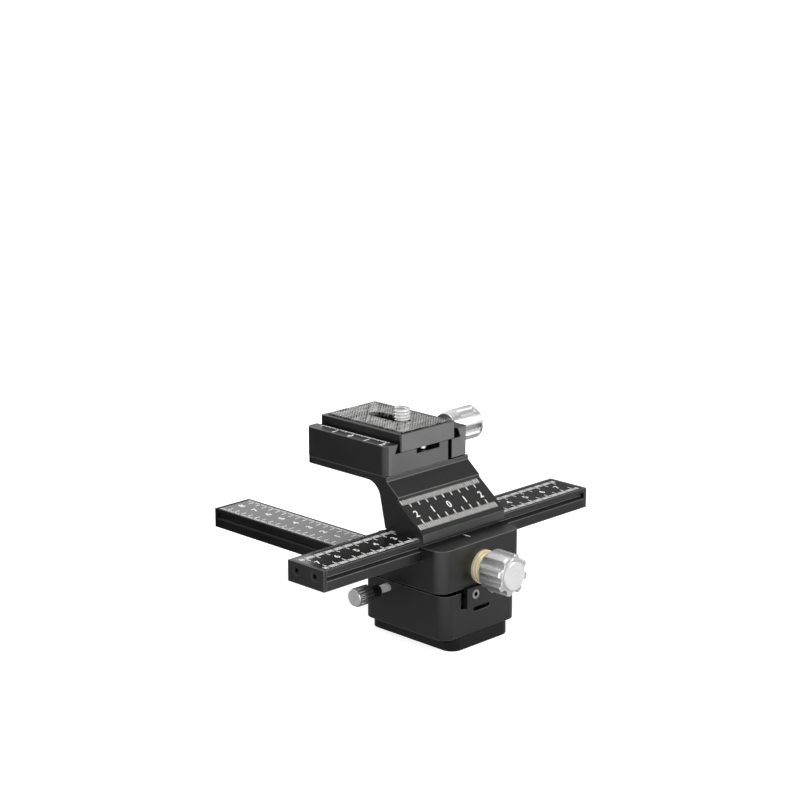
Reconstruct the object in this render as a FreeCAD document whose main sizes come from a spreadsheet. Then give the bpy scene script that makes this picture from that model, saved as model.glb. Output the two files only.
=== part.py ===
import FreeCAD, Part
import math
import os

import Sketcher
from FreeCAD import Vector

# A two-way macro focusing rail.  X runs along the upper rail, Y along the lower rail
# towards its far end and Z up.  The origin is the mouth of the tripod socket, in the
# middle of the foot's underside.  Every length is in millimetres.

DOCUMENT = FreeCAD.newDocument("macro_focusing_rail")
SHEET = DOCUMENT.addObject("Spreadsheet::Sheet", "sizes")
PIECES = []

OVERRUN = 1.0  # a cutter runs this far past the face that it opens
SAME_LENGTH = 1e-4  # two lengths closer than this are the same
PRESSURE_ANGLE = math.radians(20)  # of the racks and pinions


# ---------------------------------------------------------------- sizes and formulas

class Formula:
    """A length written with ordinary arithmetic and kept as a sheet expression."""

    def __init__(self, text, value):
        self.text = text
        self.value = value

    def __add__(self, other):
        other = formula(other)
        return Formula(f"({self.text} + {other.text})", self.value + other.value)

    def __radd__(self, other):
        return formula(other) + self

    def __sub__(self, other):
        other = formula(other)
        return Formula(f"({self.text} - {other.text})", self.value - other.value)

    def __rsub__(self, other):
        return formula(other) - self

    def __mul__(self, other):
        other = formula(other)
        return Formula(f"({self.text} * {other.text})", self.value * other.value)

    def __rmul__(self, other):
        return formula(other) * self

    def __truediv__(self, other):
        other = formula(other)
        return Formula(f"({self.text} / {other.text})", self.value / other.value)

    def __neg__(self):
        return Formula(f"(0 - {self.text})", -self.value)


def formula(number):
    """Turn a plain number into a formula and leave a formula as it is."""
    if isinstance(number, Formula):
        return number
    return Formula(f"({number})", float(number))


def size(name, value, note):
    """Enter one driving dimension in the sheet and return it as a formula."""
    row = size.row = size.row + 1
    SHEET.set(f"A{row}", name)
    SHEET.set(f"B{row}", str(value))
    SHEET.setAlias(f"B{row}", name)
    SHEET.set(f"C{row}", note)
    return Formula(f"sizes.{name}", float(value))


size.row = 0

# Rails: both are the same part.
rail_length = size("rail_length", 150.0, "rail over both end caps")
rail_width = size("rail_width", 19.7, "rail across")
rail_height = size("rail_height", 8.4, "rail from underside to rim")
shoulder_low = size("shoulder_low", 3.9, "plain side of the rail up to its sloped shoulder")
shoulder_rise = size("shoulder_rise", 1.15, "height of the sloped shoulder")
neck_inset = size("neck_inset", 1.5, "depth of the side groove")
neck_height = size("neck_height", 1.6, "height of the side groove's wall")
rim_width = size("rim_width", 0.9, "raised rim beside the scale plate")
recess_depth = size("recess_depth", 0.4, "recess of the scale plate")
scale_gap = size("scale_gap", 0.05, "gap between a scale plate and its recess")
scale_thickness = size("scale_thickness", 0.3, "scale plates")
cap_thickness = size("cap_thickness", 1.5, "rail end caps")
cap_screw_offset = size("cap_screw_offset", 4.95, "end cap screws from the rail's middle")
cap_screw_drop = size("cap_screw_drop", 3.2, "end cap screws below the rim")
cap_head_radius = size("cap_head_radius", 1.95, "flush head of an end cap screw")
cap_head_height = size("cap_head_height", 0.9, "height of that head")
cap_shank_radius = size("cap_shank_radius", 1.0, "shank of an end cap screw")
cap_screw_length = size("cap_screw_length", 6.5, "end cap screw over all")
socket_radius = size("socket_radius", 0.9, "socket in an end cap screw")
socket_depth = size("socket_depth", 0.6, "depth of that socket")
seat_gap = size("seat_gap", 0.02, "gap round a piece seated in another")

# Racks and pinions: module 0.5.
tooth_module = size("tooth_module", 0.5, "module of racks and pinions")
tooth_count = size("tooth_count", 16, "teeth of a pinion")
tooth_height = size("tooth_height", 0.4, "tooth above the pitch line")
tooth_root = size("tooth_root", 0.55, "tooth below the pitch line")
backlash = size("backlash", 0.15, "each tooth thinner than half the pitch by")
pitch_drop = size("pitch_drop", 1.3, "pitch line below the rail's underside")
rack_width = size("rack_width", 6.0, "rack across")
rack_seat = size("rack_seat", 1.6, "rack let into the rail")
rack_end_gap = size("rack_end_gap", 4.5, "rack's ends from the ends of the rail's bar")
rack_way_width = size("rack_way_width", 9.2, "groove below the rack, across")
rack_way_depth = size("rack_way_depth", 2.4, "groove below the rack, down")
pinion_width = size("pinion_width", 7.0, "pinion teeth along the shaft")
shaft_radius = size("shaft_radius", 2.5, "pinion shaft")
collar_radius = size("collar_radius", 4.4, "brake collar of the pinion shaft")
collar_gap = size("collar_gap", 0.5, "neck between teeth and collar")
collar_width = size("collar_width", 2.0, "brake collar along the shaft")
chamber_radius = size("chamber_radius", 4.6, "bore that the pinion turns in")
end_play = size("end_play", 0.3, "play of the pinion shaft along its axis")
pilot_radius = size("pilot_radius", 1.5, "journal at the shaft's inner end")
pilot_length = size("pilot_length", 2.4, "that journal")
turn_gap = size("turn_gap", 0.05, "radial running clearance")

# Bushings and drive knobs.
bush_flange_radius = size("bush_flange_radius", 6.8, "brass flange")
bush_flange_width = size("bush_flange_width", 1.6, "brass flange along the shaft")
bush_nose_radius = size("bush_nose_radius", 5.8, "brass nose in front of the flange")
bush_nose_length = size("bush_nose_length", 1.6, "that nose")
bush_groove_width = size("bush_groove_width", 0.35, "groove round the nose in the flange")
bush_groove_depth = size("bush_groove_depth", 0.6, "depth of that groove")
knob_radius = size("knob_radius", 8.4, "drive knob over its ribs")
knob_length = size("knob_length", 11.8, "drive knob")
knob_stand_off = size("knob_stand_off", 4.3, "drive knob's back from the block's face")
knob_flutes = size("knob_flutes", 8, "flutes round a drive knob")
knob_flute_radius = size("knob_flute_radius", 2.15, "a flute's round")
knob_flute_offset = size("knob_flute_offset", 8.8, "a flute's round from the axis")
knob_flute_turn = size("knob_flute_turn", 8.5, "degrees from level to a flute")
knob_chamfer = size("knob_chamfer", 0.45, "bevel round the knob's face")
knob_back_inset = size("knob_back_inset", 1.2, "back edge of a drive knob inside its ribs")
knob_back_taper = size("knob_back_taper", 1.8, "that edge along the shaft")
disc_radius = size("disc_radius", 5.55, "end disc of a drive knob")
disc_thickness = size("disc_thickness", 0.8, "depth of a disc's seat")
disc_rise = size("disc_rise", 1.1, "drive knob's disc in front of the ribs")
set_screw_radius = size("set_screw_radius", 1.2, "set screw in a drive knob")
set_screw_length = size("set_screw_length", 3.4, "that set screw")

# Foot.
foot_height = size("foot_height", 5.3, "foot")
foot_edge_height = size("foot_edge_height", 3.3, "foot's upright lower edge")
foot_width = size("foot_width", 34.0, "foot across its underside")
foot_top_width = size("foot_top_width", 29.2, "foot across its top")
foot_front = size("foot_front", 20.3, "foot's front before the origin")
foot_back = size("foot_back", 25.6, "foot's back behind the origin")
foot_corner = size("foot_corner", 5.0, "foot's upright corners")
insert_radius = size("insert_radius", 5.0, "tripod insert")
insert_length = size("insert_length", 6.6, "tripod insert")
socket_thread_radius = size("socket_thread_radius", 3.175, "quarter inch tripod thread")
socket_length = size("socket_length", 5.8, "tripod thread")

# Blocks.
lower_width = size("lower_width", 42.2, "lower block across")
lower_front = size("lower_front", 20.0, "lower block's front before the origin")
block_back = size("block_back", 25.1, "back of both blocks behind the origin")
lower_height = size("lower_height", 18.1, "lower block")
lower_seat = size("lower_seat", 11.2, "lower rail above the lower block's underside")
middle_width = size("middle_width", 46.4, "middle block across")
middle_front = size("middle_front", 20.2, "middle block's front before the origin")
middle_height = size("middle_height", 17.3, "middle block")
middle_shoulder = size("middle_shoulder", 14.8, "back of the middle block's upper part")
shoulder_drop = size("shoulder_drop", 5.6, "step behind that part below the block's top")
upper_seat = size("upper_seat", 12.0, "upper rail above the middle block's underside")
block_corner = size("block_corner", 5.0, "upright corners of both blocks")
shoulder_corner = size("shoulder_corner", 3.0, "upright corners of the middle block's upper back")
slide_gap = size("slide_gap", 0.05, "sliding clearance round a rail")
gib_thickness = size("gib_thickness", 2.0, "gib beside the rail's plain side")
gib_set_back = size("gib_set_back", 2.0, "gib's ends behind the block's faces")
pinion_drop = size("pinion_drop", 5.3, "pinion axis below the rail's underside")
lower_drive_place = size("lower_drive_place", 11.0, "lower drive shaft behind the origin")

# Lock knobs.
lock_place = size("lock_place", 11.0, "lower lock behind the origin")
lock_rise = size("lock_rise", 4.1, "lower lock above the lower rail's underside")
lock_screw_radius = size("lock_screw_radius", 1.65, "lock screw")
lock_pad_radius = size("lock_pad_radius", 1.4, "lock pad")
lock_pad_length = size("lock_pad_length", 1.2, "lock pad")
lock_contact = size("lock_contact", 0.02, "lock pad from what it presses")
lock_stem = size("lock_stem", 5.6, "lower lock's bare stem")
lock_collar_radius = size("lock_collar_radius", 2.55, "dark collar of the lower lock")
lock_collar_length = size("lock_collar_length", 5.2, "that collar")
lock_knob_radius = size("lock_knob_radius", 3.8, "lock knob")
lock_knob_length = size("lock_knob_length", 6.8, "lower lock knob")
lock_flutes = size("lock_flutes", 16, "flutes round a lock knob")
lock_flute_radius = size("lock_flute_radius", 0.5, "their round")
lock_flute_rise = size("lock_flute_rise", 0.1, "middle of that round outside the knob's rim")
lock_disc_radius = size("lock_disc_radius", 3.35, "end disc of a lock knob")
lock_disc_length = size("lock_disc_length", 0.9, "that disc")
lock_bore_depth = size("lock_bore_depth", 5.8, "lock screw let into its knob")
upper_lock_shift = size("upper_lock_shift", 3.6, "upper lock beside the drive shaft")
upper_lock_stem = size("upper_lock_stem", 0.4, "upper lock's bare stem")
upper_lock_length = size("upper_lock_length", 6.8, "upper lock knob")
upper_lock_bore = size("upper_lock_bore", 5.4, "upper lock screw let into its knob")
gib_screw_radius = size("gib_screw_radius", 1.5, "gib's set screws")
gib_screw_rise = size("gib_screw_rise", 2.15, "gib's set screws above the rail's underside")
gib_screw_length = size("gib_screw_length", 2.6, "gib's set screws")
gib_screw_spread = size("gib_screw_spread", 15.0, "gib's set screws from the middle")

# Countersunk M3 screws.
screw_radius = size("screw_radius", 1.5, "countersunk screw's shank")
screw_head_radius = size("screw_head_radius", 2.6, "its head")
screw_head_height = size("screw_head_height", 1.5, "its head")
screw_sink = size("screw_sink", 0.2, "head below the surface")
screw_socket_radius = size("screw_socket_radius", 0.96, "socket in a countersunk screw")
screw_socket_depth = size("screw_socket_depth", 1.05, "depth of that socket")
screw_grip = size("screw_grip", 4.5, "its length in the second piece")
screw_spread = size("screw_spread", 6.6, "rail screws from the rail's middle")
block_screw_front = size("block_screw_front", 13.0, "block screws before the origin")
block_screw_back = size("block_screw_back", 17.0, "block screws behind the origin")
bracket_screw_spread = size("bracket_screw_spread", 14.0, "bracket screws from the middle")
bracket_grip = size("bracket_grip", 3.2, "bracket screws' length in the riser")
foot_screw_spread = size("foot_screw_spread", 9.5, "foot screws from the middle")
foot_screw_front = size("foot_screw_front", 13.5, "front foot screws before the origin")
foot_screw_back = size("foot_screw_back", 3.0, "rear foot screws behind the origin")

# Riser bracket: places in its side view are measured from the upper rail's rim.
riser_width = size("riser_width", 46.4, "riser bracket across")
lip_drop = size("lip_drop", 1.3, "lip below the rail's rim")
lip_thickness = size("lip_thickness", 0.7, "lip in front of the rail")
lip_gap = size("lip_gap", 0.05, "gap between lip and rail")
slope_low = size("slope_low", 2.4, "foot of the scale's slope above the rim")
slope_run = size("slope_run", 13.54, "scale's slope, front to back")
slope_rise = size("slope_rise", 10.5, "scale's slope, up")
ledge_rise = size("ledge_rise", 1.2, "upright step above the scale")
slant_run = size("slant_run", 6.32, "plain slant, front to back")
slant_rise = size("slant_rise", 5.1, "plain slant, up")
shelf_top = size("shelf_top", 21.0, "shelf's top above the rim")
shelf_thickness = size("shelf_thickness", 2.9, "shelf under the clamp")
shelf_margin = size("shelf_margin", 0.44, "shelf and clamp longer than the plate")
web_foot = size("web_foot", 10.3, "back of the riser's foot behind the rail's middle")
web_lean = size("web_lean", 0.223, "lean of the riser's back")
web_round = size("web_round", 7.0, "inner corner below the shelf")

# Clamp.
clamp_width = size("clamp_width", 46.7, "clamp across, jaw and all")
clamp_height = size("clamp_height", 12.15, "clamp body")
clamp_corner = size("clamp_corner", 3.0, "upright corners of clamp and jaw")
jaw_width = size("jaw_width", 9.9, "moving jaw across")
jaw_opening = size("jaw_opening", 2.0, "gap between clamp body and jaw")
jaw_lift = size("jaw_lift", 0.4, "jaw above the shelf")
mouth_width = size("mouth_width", 34.0, "dovetail across its mouth")
undercut_width = size("undercut_width", 37.0, "dovetail across its floor")
mouth_depth = size("mouth_depth", 3.75, "dovetail's floor below the top")
clamp_groove_width = size("clamp_groove_width", 12.9, "groove in the clamp's floor")
clamp_groove_depth = size("clamp_groove_depth", 2.0, "that groove")
clamp_screw_place = size("clamp_screw_place", 22.94, "clamp screw behind the clamp's front")
clamp_screw_rise = size("clamp_screw_rise", 4.5, "clamp screw above the shelf")
clamp_screw_radius = size("clamp_screw_radius", 2.0, "clamp screw")
clamp_screw_grip = size("clamp_screw_grip", 14.0, "clamp screw let into the clamp body")
clamp_washer_radius = size("clamp_washer_radius", 3.9, "washer under the clamp knob")
clamp_washer_width = size("clamp_washer_width", 1.0, "that washer")
clamp_hub_radius = size("clamp_hub_radius", 3.7, "clamp knob's hub")
clamp_hub_length = size("clamp_hub_length", 9.5, "that hub")
clamp_cone_length = size("clamp_cone_length", 4.7, "tapered shoulder behind the ribs")
clamp_cone_radius = size("clamp_cone_radius", 6.2, "that shoulder's narrow end")
clamp_knob_radius = size("clamp_knob_radius", 7.0, "clamp knob over its ribs")
clamp_knob_length = size("clamp_knob_length", 11.0, "clamp knob's ribs")
clamp_flutes = size("clamp_flutes", 5, "flutes round the clamp knob")
clamp_flute_radius = size("clamp_flute_radius", 3.6, "their round")
clamp_flute_offset = size("clamp_flute_offset", 9.35, "middle of that round from the axis")
clamp_flute_turn = size("clamp_flute_turn", -6.6, "degrees from straight down to a flute")
clamp_rim_length = size("clamp_rim_length", 0.8, "plain rim at the clamp knob's outer end")
clamp_disc_radius = size("clamp_disc_radius", 4.3, "end disc of the clamp knob")
guide_pin_radius = size("guide_pin_radius", 1.5, "jaw guide pins")
guide_pin_inset = size("guide_pin_inset", 6.0, "guide pins from the clamp's ends")
guide_pin_seat = size("guide_pin_seat", 10.0, "guide pins let into the clamp body")
guide_pin_reach = size("guide_pin_reach", 5.5, "guide pins inside the jaw")
clamp_bolt_left = size("clamp_bolt_left", 14.0, "clamp's bolts left of the middle")
clamp_bolt_right = size("clamp_bolt_right", 5.0, "clamp's bolts right of the middle")
clamp_bolt_front = size("clamp_bolt_front", 13.5, "clamp's front bolts behind its front")
clamp_bolt_back = size("clamp_bolt_back", 33.0, "clamp's rear bolts behind its front")

# Quick release plate.
plate_gap = size("plate_gap", 0.05, "plate above the dovetail's floor")
plate_side_gap = size("plate_side_gap", 0.2, "plate from the dovetail's sides")
plate_width = size("plate_width", 30.8, "plate above its flanges")
plate_rise = size("plate_rise", 3.3, "plate above the clamp's top")
plate_length = size("plate_length", 45.5, "plate front to back")
flange_height = size("flange_height", 3.0, "plate's dovetail flanges")
flange_set_back = size("flange_set_back", 2.0, "flanges' ends behind the plate's")
plate_corner = size("plate_corner", 1.0, "plate's upright corners")
rubber_width = size("rubber_width", 25.4, "rubber pad across")
rubber_inset = size("rubber_inset", 1.7, "rubber pad from the plate's ends")
rubber_seat = size("rubber_seat", 1.0, "rubber pad let into the plate")
rubber_rise = size("rubber_rise", 0.55, "rubber pad above the plate")
slot_width = size("slot_width", 6.9, "camera screw's slot")
slot_start = size("slot_start", 11.0, "slot's front end from the plate's front")
slot_length = size("slot_length", 21.2, "camera screw's slot")
under_width = size("under_width", 12.4, "recess below the slot, across")
under_overrun = size("under_overrun", 3.2, "recess past the slot's ends")
under_depth = size("under_depth", 3.3, "that recess")
camera_head_radius = size("camera_head_radius", 5.9, "camera screw's head")
camera_head_height = size("camera_head_height", 2.1, "that head")
camera_thread_radius = size("camera_thread_radius", 3.175, "quarter inch camera thread")
camera_neck_radius = size("camera_neck_radius", 2.5, "plain neck below the camera thread")
camera_neck_rise = size("camera_neck_rise", 0.2, "that neck above the rubber pad")
camera_rise = size("camera_rise", 5.9, "camera screw above the rubber pad")
camera_tip = size("camera_tip", 0.7, "bevel of the camera screw's tip")
coin_slot_width = size("coin_slot_width", 1.4, "slot across the camera screw's head")
coin_slot_depth = size("coin_slot_depth", 1.1, "that slot")
retainer_radius = size("retainer_radius", 5.3, "retaining washer")
retainer_thickness = size("retainer_thickness", 0.5, "retaining washer")
stop_head_radius = size("stop_head_radius", 1.85, "plate's stop screws")
stop_head_height = size("stop_head_height", 1.6, "their heads")
stop_shank_radius = size("stop_shank_radius", 1.0, "their shanks")
stop_shank_length = size("stop_shank_length", 3.0, "their shanks")
stop_inset = size("stop_inset", 3.6, "stop screws from the plate's ends")
DOCUMENT.recompute()


# ---------------------------------------------------------------- ways to make a piece

DIRECTIONS = {
    "X": Vector(1, 0, 0),
    "-X": Vector(-1, 0, 0),
    "Y": Vector(0, 1, 0),
    "-Y": Vector(0, -1, 0),
    "Z": Vector(0, 0, 1),
}


def bind(item, **formulas):
    """Tie an object's properties to the sheet."""
    for name, value in formulas.items():
        item.setExpression(name, formula(value).text)


def place(item, x=0, y=0, z=0):
    """Tie the place of an object to the sheet and keep its turn."""
    for axis, value in zip("xyz", (x, y, z)):
        item.setExpression(f"Placement.Base.{axis}", formula(value).text)
    return item


def turned(direction):
    """Return the turn that takes +Z to a direction."""
    return FreeCAD.Placement(Vector(), FreeCAD.Rotation(Vector(0, 0, 1), DIRECTIONS[direction]))


def box(name, x, y, z):
    """Make a block from its (low, high) places along X, Y and Z."""
    item = DOCUMENT.addObject("Part::Box", name)
    bind(item, Length=x[1] - x[0], Width=y[1] - y[0], Height=z[1] - z[0])
    return place(item, x[0], y[0], z[0])


def cylinder(name, radius, length, start, direction="Z"):
    """Make a round bar that starts at a point and runs in a direction."""
    item = DOCUMENT.addObject("Part::Cylinder", name)
    item.Placement = turned(direction)
    bind(item, Radius=radius, Height=length)
    return place(item, *start)


def cone(name, first_radius, last_radius, length, start, direction="Z"):
    """Make a cone that starts at a point and runs in a direction."""
    item = DOCUMENT.addObject("Part::Cone", name)
    item.Placement = turned(direction)
    bind(item, Radius1=first_radius, Radius2=last_radius, Height=length)
    return place(item, *start)


def fuse(name, *items):
    """Join objects into one solid."""
    joined = DOCUMENT.addObject("Part::MultiFuse", name)
    joined.Shapes = list(items)
    return joined


def cut(name, base, *tools):
    """Cut one or more objects out of another."""
    item = DOCUMENT.addObject("Part::Cut", name)
    item.Base = base
    item.Tool = tools[0] if len(tools) == 1 else fuse(f"{name}_tools", *tools)
    return item


def group(name, *items):
    """Gather separate solids, such as a set of screws, in one object."""
    item = DOCUMENT.addObject("Part::Compound", name)
    item.Links = list(items)
    return item


def keep(item, node):
    """Name a finished piece and list it for export."""
    item.Label = node
    PIECES.append(item)
    return item


def origin_part(body, role):
    """Find one of a body's own origin planes or axes."""
    return next(part for part in body.Origin.OriginFeatures if part.Role == role)


def new_sketch(body, name, plane):
    """Attach an empty sketch to one of the body's origin planes."""
    sketch = body.newObject("Sketcher::SketchObject", name)
    sketch.AttachmentSupport = [(origin_part(body, f"{plane}_Plane"), "")]
    sketch.MapMode = "FlatFace"
    return sketch


def constrain(sketch, *terms, value):
    """Add a dimension to a sketch and tie it to the sheet."""
    index = sketch.addConstraint(Sketcher.Constraint(*terms, value.value))
    sketch.setExpression(f"Constraints[{index}]", value.text)


def outline_sketch(body, name, plane, corners):
    """Draw a closed outline whose corners are tied to the sheet."""
    corners = [(formula(u), formula(v)) for u, v in corners]
    sketch = new_sketch(body, name, plane)
    for index, (u, v) in enumerate(corners):
        next_u, next_v = corners[(index + 1) % len(corners)]
        start = Vector(u.value, v.value, 0)
        end = Vector(next_u.value, next_v.value, 0)
        sketch.addGeometry(Part.LineSegment(start, end))
    for index, (u, v) in enumerate(corners):
        before = (index - 1) % len(corners)
        sketch.addConstraint(Sketcher.Constraint("Coincident", before, 2, index, 1))
        constrain(sketch, "DistanceX", -1, 1, index, 1, value=u)
        constrain(sketch, "DistanceY", -1, 1, index, 1, value=v)
    return sketch


def extrusion(name, plane, corners, start, length):
    """Extrude an outline, drawn in a plane, along the plane's axis from a start."""
    body = DOCUMENT.addObject("PartDesign::Body", name)
    pad = body.newObject("PartDesign::Pad", f"{name}_pad")
    pad.Profile = outline_sketch(body, f"{name}_outline", plane, corners)
    pad.Reversed = plane == "XZ"
    bind(pad, Length=length)
    axis = {"XY": "z", "XZ": "y", "YZ": "x"}[plane]
    place(body, **{axis: start})
    DOCUMENT.recompute()
    return body


def edges_where(shape, test):
    """List the straight edges of a shape whose two ends pass a test."""
    names = []
    for index, edge in enumerate(shape.Edges, start=1):
        if len(edge.Vertexes) != 2:
            continue
        first, last = (vertex.Point for vertex in edge.Vertexes)
        if test(first, last):
            names.append(f"Edge{index}")
    return names


def dress(body, kind, test, **sizes):
    """Fillet or chamfer those edges of a body's last feature that pass a test."""
    base = body.Tip
    shape = body.Shape
    feature = body.newObject(f"PartDesign::{kind}", f"{body.Name}_{kind.lower()}")
    feature.Base = (base, edges_where(shape, test))
    bind(feature, **sizes)
    body.Tip = feature
    DOCUMENT.recompute()
    return body


def near(first, second):
    """Tell whether two numbers are the same length."""
    return abs(first - second) < SAME_LENGTH


def outer_uprights(low_x, high_x, low_y, high_y):
    """Return a test for the upright edges at a block's outer corners."""
    def test(first, last):
        at_x = near(first.x, low_x.value) or near(first.x, high_x.value)
        at_y = near(first.y, low_y.value) or near(first.y, high_y.value)
        upright = near(first.x, last.x) and near(first.y, last.y)
        return upright and at_x and at_y
    return test


def round_about(offset, degrees):
    """Return the X and Y of a point at some distance from an axis and degrees from +X."""
    angle = math.radians(degrees.value)
    along = Formula(f"({offset.text} * cos({degrees.text} * 1deg))", offset.value * math.cos(angle))
    across = Formula(f"({offset.text} * sin({degrees.text} * 1deg))", offset.value * math.sin(angle))
    return along, across


def fluted_bar(name, radius, length, flutes, flute_radius, flute_offset, start, direction, turn=0):
    """Make a knob's round bar with flutes cut along all of it, turned by some degrees."""
    along, across = round_about(flute_offset, formula(turn))
    body = DOCUMENT.addObject("PartDesign::Body", name)
    body.Placement = turned(direction)
    place(body, *start)
    round_sketch = new_sketch(body, f"{name}_round", "XY")
    round_sketch.addGeometry(Part.Circle(Vector(), Vector(0, 0, 1), radius.value))
    round_sketch.addConstraint(Sketcher.Constraint("Coincident", 0, 3, -1, 1))
    constrain(round_sketch, "Radius", 0, value=radius)
    pad = body.newObject("PartDesign::Pad", f"{name}_pad")
    pad.Profile = round_sketch
    bind(pad, Length=length)
    flute_sketch = new_sketch(body, f"{name}_flute", "XY")
    flute_sketch.addGeometry(Part.Circle(Vector(along.value, across.value, 0), Vector(0, 0, 1),
                                         flute_radius.value))
    constrain(flute_sketch, "Radius", 0, value=flute_radius)
    constrain(flute_sketch, "DistanceX", -1, 1, 0, 3, value=along)
    constrain(flute_sketch, "DistanceY", -1, 1, 0, 3, value=across)
    pocket = body.newObject("PartDesign::Pocket", f"{name}_pocket")
    pocket.Profile = flute_sketch
    pocket.Reversed = True
    bind(pocket, Length=length)
    DOCUMENT.recompute()
    if pocket.Shape.Volume >= pad.Shape.Volume:
        raise RuntimeError(f"{name}: the flute cuts nothing")
    pattern = body.newObject("PartDesign::PolarPattern", f"{name}_flutes")
    pattern.Originals = [pocket]
    pattern.Axis = (origin_part(body, "Z_Axis"), [""])
    pattern.Angle = 360
    bind(pattern, Occurrences=flutes)
    body.Tip = pattern
    DOCUMENT.recompute()
    return body


class Run:
    """One rail's own directions: along it, across it, and up from its underside."""

    def __init__(self, name, along, across, plane, start, bottom):
        self.name = name
        self.along = along
        self.across = across
        self.plane = plane
        self.start = start
        self.bottom = bottom

    def order(self, along, across, height):
        """Put three values in X, Y, Z order."""
        values = {self.along: along, self.across: across, "Z": height}
        return values["X"], values["Y"], values["Z"]

    def point(self, along, across, up):
        """Return the point at a place along, across and above the underside."""
        return self.order(along, across, self.bottom + up)

    def box(self, name, along, across, up):
        """Make a block from its (low, high) places in the rail's directions."""
        heights = (self.bottom + up[0], self.bottom + up[1])
        return box(name, *self.order(along, across, heights))


# ---------------------------------------------------------------- places worked out once

lower_bottom = foot_height + lower_seat
middle_bottom = lower_bottom + rail_height
upper_bottom = middle_bottom + upper_seat
rim_height = upper_bottom + rail_height
bar_length = rail_length - 2 * cap_thickness
rack_length = bar_length - 2 * rack_end_gap
half_width = rail_width / 2
half_neck = half_width - neck_inset
neck_top = shoulder_low + shoulder_rise + neck_height
shoulder_top = shoulder_low + shoulder_rise

# The lower rail's front cap rests against the lower block, the upper rail is centred.
lower_run = Run("lower", "Y", "X", "XZ", -lower_front, lower_bottom)
upper_run = Run("upper", "X", "Y", "YZ", -bar_length / 2, upper_bottom)

chamber_end = pinion_width / 2 + collar_gap + collar_width + end_play
gib_outer = half_width + gib_thickness
clamp_front = -(lip_thickness + lip_gap + half_width) + slope_run + slant_run
shelf_depth = plate_length + shelf_margin
clamp_back = clamp_front + shelf_depth
shelf_height = rim_height + shelf_top
clamp_top = shelf_height + clamp_height
dovetail_floor = clamp_top - mouth_depth


# ---------------------------------------------------------------- screws

def screw(name, start, direction, grip):
    """Make a countersunk screw from the middle of its head's flat face."""
    head = cone(f"{name}_head", screw_head_radius, screw_radius, screw_head_height, start, direction)
    shank = cylinder(f"{name}_shank", screw_radius, grip, start, direction)
    drive = cylinder(f"{name}_drive", screw_socket_radius, screw_socket_depth, start, direction)
    return cut(name, fuse(f"{name}_solid", head, shank), drive)


def screw_hole(name, start, direction, grip, lead):
    """Make the cutter for a countersunk screw: a sunk head, a cone and a shank."""
    x, y, z = start
    sign = -1 if direction.startswith("-") else 1
    axis = direction[-1]
    mouth = {"X": (x - sign * lead, y, z), "Y": (x, y - sign * lead, z), "Z": (x, y, z - lead)}[axis]
    sink = cylinder(f"{name}_sink", screw_head_radius + seat_gap, lead, mouth, direction)
    head = cone(f"{name}_cone", screw_head_radius + seat_gap, screw_radius + seat_gap,
                screw_head_height, start, direction)
    shank = cylinder(f"{name}_bore", screw_radius + seat_gap, grip, start, direction)
    return fuse(name, sink, head, shank)


def screw_set(node, places, direction, grip):
    """Make one node of equal countersunk screws."""
    screws = [screw(f"{node}_{index}", start, direction, grip)
              for index, start in enumerate(places, start=1)]
    return keep(group(f"{node}_set", *screws), node)


def screw_holes(name, places, direction, grip):
    """Make the joined cutter for a set of countersunk screws."""
    holes = [screw_hole(f"{name}_{index}", start, direction, grip, screw_sink + OVERRUN)
             for index, start in enumerate(places, start=1)]
    return fuse(name, *holes)


def corner_places(xs, ys, z):
    """Return the points where given X and Y places cross at one height."""
    return [(x, y, z) for x in xs for y in ys]


# ---------------------------------------------------------------- rails

def rail_outline():
    """Return the rail's section: sloped shoulders, side grooves and a scale recess."""
    half_recess = half_width - rim_width
    recess = rail_height - recess_depth
    half_rack = rack_width / 2 + seat_gap
    right = [
        (half_rack, rack_seat),
        (half_rack, 0),
        (half_width, 0),
        (half_width, shoulder_low),
        (half_neck, shoulder_top),
        (half_neck, neck_top),
        (half_width, neck_top),
        (half_width, rail_height),
        (half_recess, rail_height),
        (half_recess, recess),
    ]
    left = [(-u, v) for u, v in reversed(right)]
    return right + left


def make_rail(run, screw_places):
    """Make one rail's bar, scale plate, rack, end caps and their screws."""
    corners = [(u, run.bottom + v) for u, v in rail_outline()]
    bar = extrusion(f"{run.name}_bar", run.plane, corners, run.start, bar_length)
    cap_holes = cap_screw_cutters(run, f"{run.name}_bar_holes")
    plate_holes = screw_holes(f"{run.name}_rail_screw_holes", screw_places, "Z",
                              rail_height + screw_grip)
    keep(cut(f"{run.name}_rail_solid", bar, cap_holes, plate_holes), f"{run.name}_rail")

    half_scale = half_width - rim_width - scale_gap
    recess = rail_height - recess_depth
    scale = run.box(f"{run.name}_scale_blank", (run.start, run.start + bar_length),
                    (-half_scale, half_scale), (recess, recess + scale_thickness))
    scale_holes = [cylinder(f"{run.name}_scale_hole_{index}", screw_radius + seat_gap,
                            rail_height + screw_grip, start)
                   for index, start in enumerate(screw_places, start=1)]
    keep(cut(f"{run.name}_scale_solid", scale, *scale_holes), f"{run.name}_scale_plate")

    make_rack(run)
    make_caps(run)


def cap_screw_points(run):
    """Return each end cap screw's outer point and the direction it goes in."""
    up = rail_height - cap_screw_drop
    first = run.start - cap_thickness
    last = run.start + bar_length + cap_thickness
    points = []
    for across in (-cap_screw_offset, cap_screw_offset):
        points.append((run.point(first, across, up), run.along))
        points.append((run.point(last, across, up), f"-{run.along}"))
    return points


def cap_screw_cutters(run, name):
    """Make the joined cutter for the heads and shanks of the end cap screws."""
    cutters = []
    for index, (start, direction) in enumerate(cap_screw_points(run), start=1):
        cutters.append(cylinder(f"{name}_head_{index}", cap_head_radius + seat_gap,
                                cap_head_height, start, direction))
        cutters.append(cylinder(f"{name}_shank_{index}", cap_shank_radius + seat_gap,
                                cap_screw_length, start, direction))
    return fuse(name, *cutters)


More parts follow.
